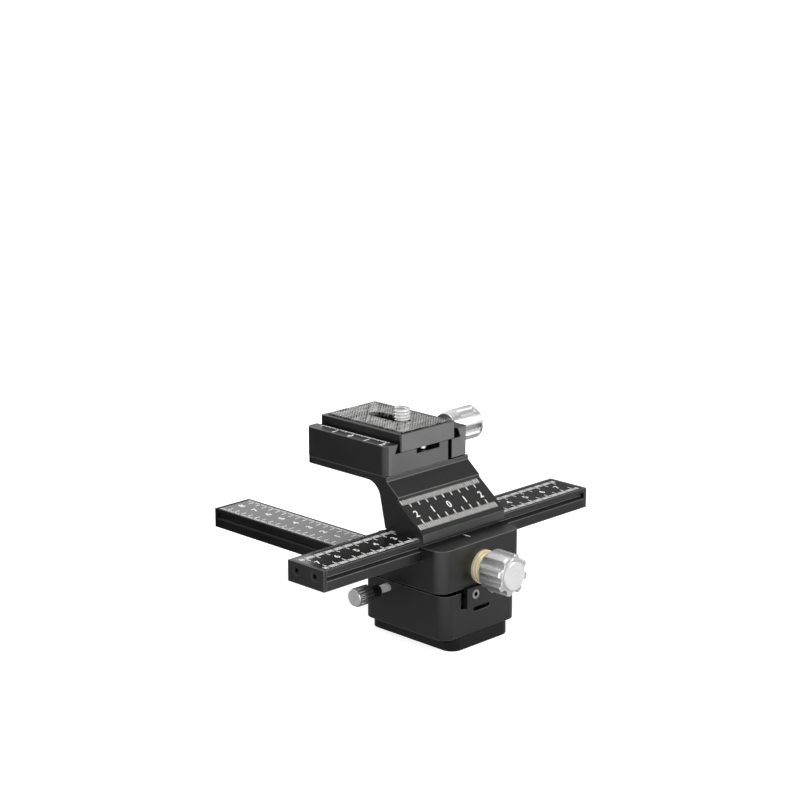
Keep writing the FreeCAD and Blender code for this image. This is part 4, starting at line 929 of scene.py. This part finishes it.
@dataclass
class UpperRail:
    """Upper rail with its caps, scale and hidden rack."""

    top: float = 45.2
    shift: float = -0.65
    reaches: Point = (7.6, 5.4, 3.2)
    fine_count: int = 145
    fine_pitch: float = 1.0
    fine_width: float = 0.54
    long_count: int = 29
    long_pitch: float = 5.0
    long_width: float = 0.36
    figures: tuple[float, ...] = (-69.3, -59.5, -49.2, -39.1, -29.1, -19.6, -10.2, -0.8,
                                  8.6, 18.1, 27.6, 37.1, 47.2, 57.5, 66.8)
    softening: Softening = Softening(0.16)

    def build(self) -> None:
        """Makes the rail, its caps and its print."""
        self.softening.machine("upper_rail", Body.UPPER_CARRIAGE, patches={RAIL_BLACK_X: everywhere})
        for node in ("upper_left_cap", "upper_right_cap"):
            self.softening.machine(node, Body.UPPER_CARRIAGE)
        keep_node("upper_scale_plate", FOIL_X, Slot.PRINT)
        keep_steel("upper_rack", Axis.X)
        dress_cap_screws("upper_cap_screws", Body.UPPER_CARRIAGE, Axis.X, BLOCK_BLACK)
        self.print_scale()

    def print_scale(self) -> None:
        """Figures 7 to 0 to 7, half-centimetre strokes and millimetre strips."""
        turn = plane_turn((0.0, 0.0, self.top), (1.0, 0.0, 0.0))
        scale = ScalePrint("upper_scale_print", Body.UPPER_CARRIAGE, turn, glyph=4.2)
        for side in (-1.0, 1.0):
            outer, inner, tip = (self.shift + side * reach for reach in self.reaches)
            scale.strokes(self.fine_count, self.fine_pitch, self.fine_width, (outer, inner))
            scale.strokes(self.long_count, self.long_pitch, self.long_width, (outer, tip))
        for index, along in enumerate(self.figures):
            scale.figure(abs(index - len(self.figures) // 2), along, self.shift)
        scale.lay()


@dataclass
class Riser:
    """Slanted bracket on the upper rail, with its printed slope."""

    low: Pair = (-10.6, 47.7)
    high: Pair = (2.94, 58.2)
    lip_top: float = 48.0
    shelf_bottom: float = 60.0
    unit: float = 9.12
    shift: float = -0.92
    strips: tuple[Point, ...] = ((8.3, 6.1, 4.35), (-6.5, -4.05, -1.9))
    fine_count: int = 39
    fine_share: float = 1 / 8
    long_count: int = 9
    stroke_width: float = 0.4
    largest: int = 2
    figure_place: Pair = (-0.2, 0.75)
    softening: Softening = Softening(0.25)

    def build(self) -> None:
        """Makes the bracket and the print on its slope."""

        def milled_front(centre: Vector, normal: Vector) -> bool:
            """Passes the front faces of the lip and of the shelf."""
            return normal.y < -FACING and not self.lip_top <= centre.z <= self.shelf_bottom

        # The lip's and the shelf's front faces take the lighter grey of painted light.
        self.softening.machine("riser_bracket", Body.UPPER_CARRIAGE, name="riser_softened",
                               patches={SHELF_LIT_FRONT: milled_front})
        keep_node("riser_scale_plate", FOIL_X, Slot.PRINT)
        keep_steel("bracket_screws", Axis.Z)
        self.print_slope()

    def print_slope(self) -> None:
        """Figures 2 1 0 1 2 between two strips of fine strokes."""
        rise = self.high[1] - self.low[1]
        run = self.high[0] - self.low[0]
        turn = plane_turn((self.shift, (self.low[0] + self.high[0]) / 2, (self.low[1] + self.high[1]) / 2),
                          (1.0, 0.0, 0.0), (0.0, -rise, run))
        scale = ScalePrint("riser_scale_print", Body.UPPER_CARRIAGE, turn, glyph=4.3)
        for outer, inner, tip in self.strips:
            scale.strokes(self.fine_count, self.unit * self.fine_share, self.stroke_width, (outer, inner))
            scale.strokes(self.long_count, self.unit / 2, self.stroke_width, (outer, tip))
        for step in range(-self.largest, self.largest + 1):
            scale.figure(abs(step), step * self.unit + self.figure_place[0], self.figure_place[1])
        scale.lay()


@dataclass
class Clamp:
    """Quick release clamp: fixed body, moving jaw and screw; its knob is made with the other knobs."""

    top: float = 78.45
    edge: float = -17.7
    zero: float = 32.2
    unit: float = 9.03
    base_width: float = 38.1
    base_ends: Pair = (-0.35, 0.1)
    base_middle: float = 0.05
    rows: tuple[tuple[int, float, float, float, float], ...] = (  # count, units apart, width, tip, first
        (42, 0.1, 0.3, -0.9, -18.75), (4, 1.0, 0.4, -1.3, -13.5), (5, 1.0, 0.4, -1.9, -18.0))
    steps: tuple[int, ...] = (-1, 0, 1, 2)
    figure_place: Pair = (0.6, -3.7)
    softening: Softening = Softening(0.22)

    def build(self) -> None:
        """Makes the clamp's pieces."""
        # The clamp's and the jaw's front faces take the lighter greys of painted light.
        self.softening.machine("clamp_body", Body.UPPER_CARRIAGE, patches={CLAMP_LIT_FRONT: clamp_front})
        self.softening.machine("clamp_jaw", Body.JAW, patches={PLATE_LIT_FRONT: clamp_front})
        keep_steel("clamp_bolts", Axis.Z)
        keep_steel("jaw_guide_pins", Axis.X)
        keep_steel("clamp_screw", Axis.X, CLAMP_AXIS)
        keep_steel("clamp_washer", Axis.X, CLAMP_AXIS)
        self.print_top()

    def print_top(self) -> None:
        """Tick strip and figures on the fixed side's top."""
        turn = plane_turn((self.edge, self.zero, self.top), (0.0, -1.0, 0.0))
        scale = ScalePrint("clamp_scale_print", Body.UPPER_CARRIAGE, turn, glyph=3.6, bold=0.12)
        scale.strokes(1, 0.0, self.base_width, self.base_ends, self.base_middle)
        for count, units, width, tip, first in self.rows:
            scale.strokes(count, units * self.unit, width, (tip, 0.0), first)
        for step in self.steps:
            scale.figure(abs(step), step * self.unit + self.figure_place[0], self.figure_place[1])
        scale.lay()


@dataclass
class Plate:
    """Quick release plate with its rubber pad and stop screws."""

    rib_pitch: float = 1.0
    near: float = 0.02
    softening: Softening = Softening(0.2)
    pad_softening: Softening = Softening(0.1)

    def build(self) -> None:
        """Makes the plate, the pad and the stops."""
        # The plate's edges take the painted highlight; its front faces take painted light.
        self.softening.machine("quick_release_plate", Body.PLATE, BLOCK_BLACK, PLATE_EDGE_HIGHLIGHT,
                               name="plate_softened", patches={PLATE_LIT_FRONT: clamp_front})
        pad = self.pad_softening.copy("rubber_pad", "pad_ribbed")
        self.rib(pad)
        dress(pad, RUBBER, RUBBER)
        attach(pad, Body.PLATE, Slot.RUBBER, "rubber_pad")
        keep_steel("plate_stop_screws", Axis.Z, STOP_AXIS)
        keep_node("screw_retainer", NYLON, Slot.NYLON)

    def rib(self, pad: Piece) -> None:
        """Folds the pad's top into fine slanted ribs.

        Args:
            pad: the pad's copy.
        """
        turn = math.radians(RUBBER.rib_turn)
        across = Vector((-math.sin(turn), math.cos(turn), 0.0))
        low, high = (Vector(corner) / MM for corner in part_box("rubber_pad"))
        middle = (low + high) / 2
        reach = (high - low).length / 2
        fold = self.rib_pitch / 2
        count = 2 * int(reach / self.rib_pitch)
        with editing(pad):
            for step in range(-count, count + 1):
                bpy.ops.mesh.select_all(action="SELECT")
                bpy.ops.mesh.bisect(plane_co=(middle + across * step * fold) * MM, plane_no=across)
        for vertex in pad.data.vertices:
            place = vertex.co / MM
            line = (place - middle).dot(across) / fold
            if place.z > RUBBER.crest - self.near and abs(line - round(line)) < self.near and round(line) % 2:
                vertex.co.z -= RUBBER.groove * MM
        smooth(pad, 20.0)


@dataclass
class Knobs:
    """The three fluted knobs and their discs, bushings, shafts and set screws."""

    softening: Softening = Softening(0.25, 3)
    disc_softening: Softening = Softening(0.12)
    bushing_softening: Softening = Softening(0.2)

    def build(self) -> None:
        """Makes the knobs, then what carries the two drive knobs."""
        drives = (("upper", Body.UPPER_DRIVE, Body.LOWER_CARRIAGE, Axis.Y, UPPER_DRIVE_AXIS),
                  ("lower", Body.LOWER_DRIVE, Body.BASE, Axis.X, LOWER_DRIVE_AXIS))
        for side, body, _, axis, centre in drives:
            self.knob(f"{side}_drive_knob", f"{side}_drive_disc", body, axis, centre)
        self.knob("clamp_knob", "clamp_knob_disc", Body.CLAMP_TURNER, Axis.X, CLAMP_AXIS)
        for side, _, body, axis, centre in drives:
            brass = TurnedMetal(f"{side}_bushing_brass", colour=(0.97, 0.9, 0.66), shade=(0.84, 0.74, 0.48),
                                roughness=0.32, axis=axis, centre=centre, metallic=0.4)
            self.bushing_softening.machine(f"{side}_drive_bushing", body, brass, brass, slot=Slot.BRASS)
            keep_steel(f"{side}_pinion_shaft", axis, centre)
            keep_steel(f"{side}_knob_set_screw", Axis.Z)

    def knob(self, node: str, disc: str, body: Body, axis: Axis, centre: Point) -> None:
        """Makes one knob and its disc.

        Args:
            node: the knob's node.
            disc: the disc's node.
            body: body that carries them.
            axis: their axis.
            centre: a point on it.
        """
        turned = partial(TurnedMetal, axis=axis, centre=centre)
        metal = turned(f"{node}_metal", colour=grey(0.74), shade=grey(0.66), metallic=0.9, depth=0.000004)
        # The broken edges take a paler, less metallic grey: a painted highlight along them.
        bright = turned(f"{node}_edge", colour=grey(0.9), shade=grey(0.8), roughness=0.32, metallic=0.35)
        face = turned(f"{node}_face", colour=grey(0.86), shade=grey(0.76), roughness=0.34, metallic=0.35)
        self.softening.machine(node, body, metal, bright, slot=Slot.CLEAR)
        self.disc_softening.machine(disc, body, face, bright, slot=Slot.CLEAR)


@dataclass
class Locks:
    """The two lock screws with their knobs, collars, discs and pads."""

    softening: Softening = Softening(0.15)

    def build(self) -> None:
        """Makes the locks."""
        turned = partial(TurnedMetal, axis=Axis.X, centre=LOWER_LOCK_AXIS)
        body = turned("lock_knob_gunmetal", colour=grey(0.32), shade=grey(0.16), metallic=0.9)
        # The broken edges take a near-white grey: a painted highlight on the knurl.
        edge = turned("lock_knob_edge", colour=grey(0.95), shade=grey(0.85), metallic=0.4)
        face = turned("lock_disc_metal", colour=grey(0.85), shade=grey(0.72), metallic=0.75)
        self.softening.machine("lower_lock_knob", Body.LOWER_LOCK, body, edge, slot=Slot.GUNMETAL)
        self.softening.machine("lower_lock_disc", Body.LOWER_LOCK, face, edge, slot=Slot.CLEAR)
        self.softening.machine("lower_lock_collar", Body.LOWER_LOCK)
        for node in ("upper_lock_knob", "upper_lock_disc"):
            self.softening.machine(node, Body.UPPER_LOCK)
        # The stem's near-white, mostly diffuse colour is painted light, keeping it bright in the rail's
        # shade.
        keep_steel("lower_lock_screw", Axis.X, LOWER_LOCK_AXIS, colour=grey(0.97), shade=grey(0.85),
                   metallic=0.2)
        keep_steel("upper_lock_screw", Axis.Y, UPPER_LOCK_AXIS)
        for node in ("lower_lock_pad", "upper_lock_pad"):
            keep_node(node, NYLON, Slot.NYLON)


@dataclass
class CameraScrew:
    """Slotted camera screw with a real thread."""

    centre: Pair = (0.0, 23.71)
    tip: float = 88.2
    start: float = 82.55
    major: float = 3.175
    minor: float = 2.5
    pitch: float = 1.27
    steps: int = 40
    crest: float = 0.09
    root: float = 0.6
    chamfer: float = 0.75
    overlap: float = 0.1
    sink: float = 0.4
    clearance: float = 0.01

    def build(self) -> None:
        """Cuts the node's plain shank off above the plate and puts a threaded one on it."""
        metal = TurnedMetal("camera_screw_steel", axis=Axis.Z, centre=(*self.centre, 0.0), colour=grey(0.95),
                            shade=grey(0.85), metallic=0.5)
        low = Softening(0.12).copy("camera_screw", "camera_screw_threaded")
        with editing(low):
            bpy.ops.mesh.select_all(action="SELECT")
            bpy.ops.mesh.bisect(plane_co=(0.0, 0.0, (self.start - self.overlap) * MM),
                                plane_no=(0.0, 0.0, 1.0), use_fill=True, clear_outer=True)
        screw = join("camera_screw_threaded", [low, self.shank()])
        dress(screw, metal)
        smooth(screw, 28.0)
        attach(screw, Body.CAMERA_FIXING, Slot.STEEL, "camera_screw")

    def shank(self) -> Piece:
        """Makes the threaded shank.

        Returns:
            The core with its helical ridge, chamfered at the tip.
        """
        length = self.tip - self.start + self.sink
        middle = Vector((*self.centre, self.tip - length / 2)) * MM

        def rod(radius: float, sides: int) -> Piece:
            """Adds a cylinder as long as the shank.

            Args:
                radius: its radius.
                sides: number of its sides.

            Returns:
                The cylinder, its place in its mesh.
            """
            deselect()
            bpy.ops.mesh.primitive_cylinder_add(vertices=sides, radius=radius * MM, depth=length * MM,
                                                location=middle)
            return settle(bpy.context.object)

        ridge = self.ridge()
        core = rod(self.minor + self.overlap / 2, self.steps)
        finish_modifier(core, "BOOLEAN", object=ridge, operation="UNION", solver="EXACT")
        envelope = rod(self.major + self.clearance, 2 * self.steps)
        finish_modifier(envelope, "BEVEL", width=self.chamfer * MM, segments=1, limit_method="ANGLE")
        finish_modifier(core, "BOOLEAN", object=envelope, operation="INTERSECT", solver="EXACT")
        for helper in (ridge, envelope):
            bpy.data.objects.remove(helper)
        return core

    def ridge(self) -> Piece:
        """Turns a four-cornered profile up a helix.

        Returns:
            The closed ridge round the screw's axis.
        """
        turns = (self.tip - self.start) / self.pitch + 1.0
        deselect()
        bpy.ops.mesh.primitive_plane_add(size=1.0, rotation=(math.pi / 2, 0.0, 0.0))
        ridge = bpy.context.object
        settle(ridge)
        inner = self.minor - self.overlap
        corners = ((inner, -self.root), (self.major, -self.crest),
                   (self.major, self.crest), (inner, self.root))
        order = sorted(ridge.data.vertices, key=lambda v: math.atan2(v.co.z, v.co.x + 2 * v.co.z * v.co.x))
        for vertex, (reach, rise) in zip(order, corners):
            vertex.co = (reach * MM, 0.0, rise * MM)
        steps = int(turns * self.steps)
        finish_modifier(ridge, "SCREW", axis="Z", angle=turns * 2 * math.pi, iterations=1, steps=steps,
                        screw_offset=turns * self.pitch * MM, render_steps=steps, use_merge_vertices=False,
                        use_smooth_shade=False)
        with editing(ridge, "VERT"):
            bpy.ops.mesh.select_all(action="SELECT")
            bpy.ops.mesh.normals_make_consistent(inside=False)
        ridge.location = (self.centre[0] * MM, self.centre[1] * MM, (self.start - self.pitch / 2) * MM)
        return settle(ridge)


@dataclass
class Studio:
    """Pale floor, soft lamps and the camera."""

    camera_place: Point = (-582.24, -550.77, 300.7)
    camera_forward: Point = (0.68868, 0.68103, -0.24886)
    lens: float = 95.76
    sensor: float = 36.0
    clip_start: float = 0.01
    aim: Point = (0.0, 0.02, 0.045)
    lamps: tuple[tuple[str, Point, float, float], ...] = (  # name, place, side in metres, power in watts
        ("front_right", (0.75, -1.25, 0.75), 0.9, 14.0), ("overhead", (-0.1, 0.1, 1.5), 1.2, 13.0),
        ("left_fill", (-1.3, -0.1, 0.55), 0.9, 4.5), ("corner_glint", (-0.85, -0.8, 0.42), 0.3, 1.2))
    floor_size: float = 8.0
    floor_drop: float = 0.0001
    floor_tones: Pair = (0.62, 0.66)
    floor_glow: float = 0.8
    floor_shine: float = 0.24
    floor_right: float = 0.72
    floor_front: float = 1.9
    right_rise: Pair = (-0.14, 0.2)
    dip_fall: Pair = (0.08, 0.115)
    dip_rise: Pair = (0.15, 0.18)
    dip_depth: float = 0.6
    front_rise: Pair = (0.03, 0.22)
    back_fall: Pair = (0.01, 0.06)
    back_depth: float = 0.85
    gap_bearing: float = 45.1
    gap_edge: Pair = (-0.045, 0.04)
    gap_reach: Pair = (0.35, 0.85)
    high_rise: Pair = (0.3, 0.5)
    tent_gap: float = 0.12
    tent_bright: float = 1.2
    tent_shine: float = 0.38
    tent_high: float = 1.1
    tent_light: float = 0.4

    def build(self) -> None:
        """Makes the stage, the lamps and the camera."""
        self.floor()
        self.world()
        self.light()
        self.camera()
        bpy.context.scene.view_settings.view_transform = "Standard"

    def floor(self) -> None:
        """Adds the floor, which the camera sees as white with the object's shadow."""
        deselect()
        bpy.ops.mesh.primitive_grid_add(x_subdivisions=4, y_subdivisions=4, size=self.floor_size,
                                        location=(0.0, 0.0, -self.floor_drop))
        floor = bpy.context.object
        floor.name = "floor"
        material = bpy.data.materials.new("pale_floor")
        material.use_nodes = True
        graph = Graph(material.node_tree)
        rays = graph.node("ShaderNodeLightPath", out="Is Camera Ray")
        glossy = graph.node("ShaderNodeLightPath", out="Is Glossy Ray")
        speck = graph.noise(graph.place(), 30.0)
        tone = graph.blend(speck, *(grey(level) for level in self.floor_tones))
        card = graph.node("ShaderNodeBsdfDiffuse", {"Color": tone})
        glow = graph.node("ShaderNodeEmission", {
            "Color": grey(1.0), "Strength": rays * self.floor_glow})
        seen = graph.node("ShaderNodeAddShader", {0: card, 1: glow})
        x, y, _ = graph.split(graph.place())
        aside = (x - y) * DIAGONAL
        dip = aside.within(*self.dip_fall) * (1.0 - aside.within(*self.dip_rise))
        right = aside.within(*self.right_rise) - dip * self.dip_depth
        front = ((x + y) * -DIAGONAL).within(*self.front_rise)
        back = ((x + y) * DIAGONAL).within(*self.back_fall)
        shine = right * self.floor_right + front * self.floor_front \
            + self.floor_shine * (1.0 - back * self.back_depth)
        mirrored = graph.node("ShaderNodeEmission", {"Color": grey(1.0), "Strength": shine})
        both = graph.node("ShaderNodeMixShader", {0: glossy, 1: seen, 2: mirrored})
        graph.node("ShaderNodeOutputMaterial", {"Surface": both})
        floor.data.materials.append(material)

    def world(self) -> None:
        """Sets a white backdrop for the camera and a grey tent with a dark gap for reflections."""
        world = bpy.data.worlds.new("studio")
        bpy.context.scene.world = world
        world.use_nodes = True
        graph = Graph(world.node_tree)
        seen = graph.node("ShaderNodeLightPath", out="Is Camera Ray")
        glossy = graph.node("ShaderNodeLightPath", out="Is Glossy Ray")
        x, y, z = graph.split(graph.node("ShaderNodeTexCoord", out="Generated"))
        bearing = math.radians(self.gap_bearing)
        beyond = (y * math.cos(bearing) - x * math.sin(bearing)).within(*self.gap_edge)
        toward = (x * math.cos(bearing) + y * math.sin(bearing)).within(*self.gap_reach)
        tent = toward * (beyond * (self.tent_bright - self.tent_gap) + (self.tent_gap - self.tent_shine)) \
            + self.tent_shine
        tent = tent + z.within(*self.high_rise) * toward * (self.tent_high - tent)
        strength = seen + (1.0 - seen) * (glossy * tent + (1.0 - glossy) * self.tent_light)
        back = graph.node("ShaderNodeBackground", {"Color": grey(1.0), "Strength": strength})
        graph.node("ShaderNodeOutputWorld", {"Surface": back})

    def light(self) -> None:
        """Adds the square softboxes, aimed at the object."""
        for name, place, side, power in self.lamps:
            data = bpy.data.lights.new(name, "AREA")
            data.shape = "SQUARE"
            data.size = side
            data.energy = power
            self.hang(data, Vector(place), Vector(self.aim) - Vector(place))

    def camera(self) -> None:
        """Adds the camera."""
        data = bpy.data.cameras.new("camera")
        data.lens = self.lens
        data.sensor_fit = "HORIZONTAL"
        data.sensor_width = self.sensor
        data.clip_start = self.clip_start
        place = Vector(self.camera_place) * MM
        bpy.context.scene.camera = self.hang(data, place, Vector(self.camera_forward))

    @staticmethod
    def hang(data: bpy.types.ID, place: Vector, forward: Vector) -> Piece:
        """Adds a lamp or a camera.

        Args:
            data: its data.
            place: its place in metres.
            forward: the way it looks.

        Returns:
            The new object.
        """
        made = bpy.data.objects.new(data.name, data)
        bpy.context.scene.collection.objects.link(made)
        made.location = place
        made.rotation_mode = "QUATERNION"
        made.rotation_quaternion = forward.to_track_quat("-Z", "Y")
        return made


def main() -> None:
    """Builds the sub-assemblies in order and reports them."""
    logging.basicConfig(level=logging.INFO, format="%(message)s")
    for assembly in (Foot(), Blocks(), LowerRail(), UpperRail(), Riser(), Clamp(), Plate(), Knobs(),
                     Locks(), CameraScrew(), Studio()):
        LOG.info("building %s", type(assembly).__name__)
        assembly.build()


if __name__ == "__main__":
    main()
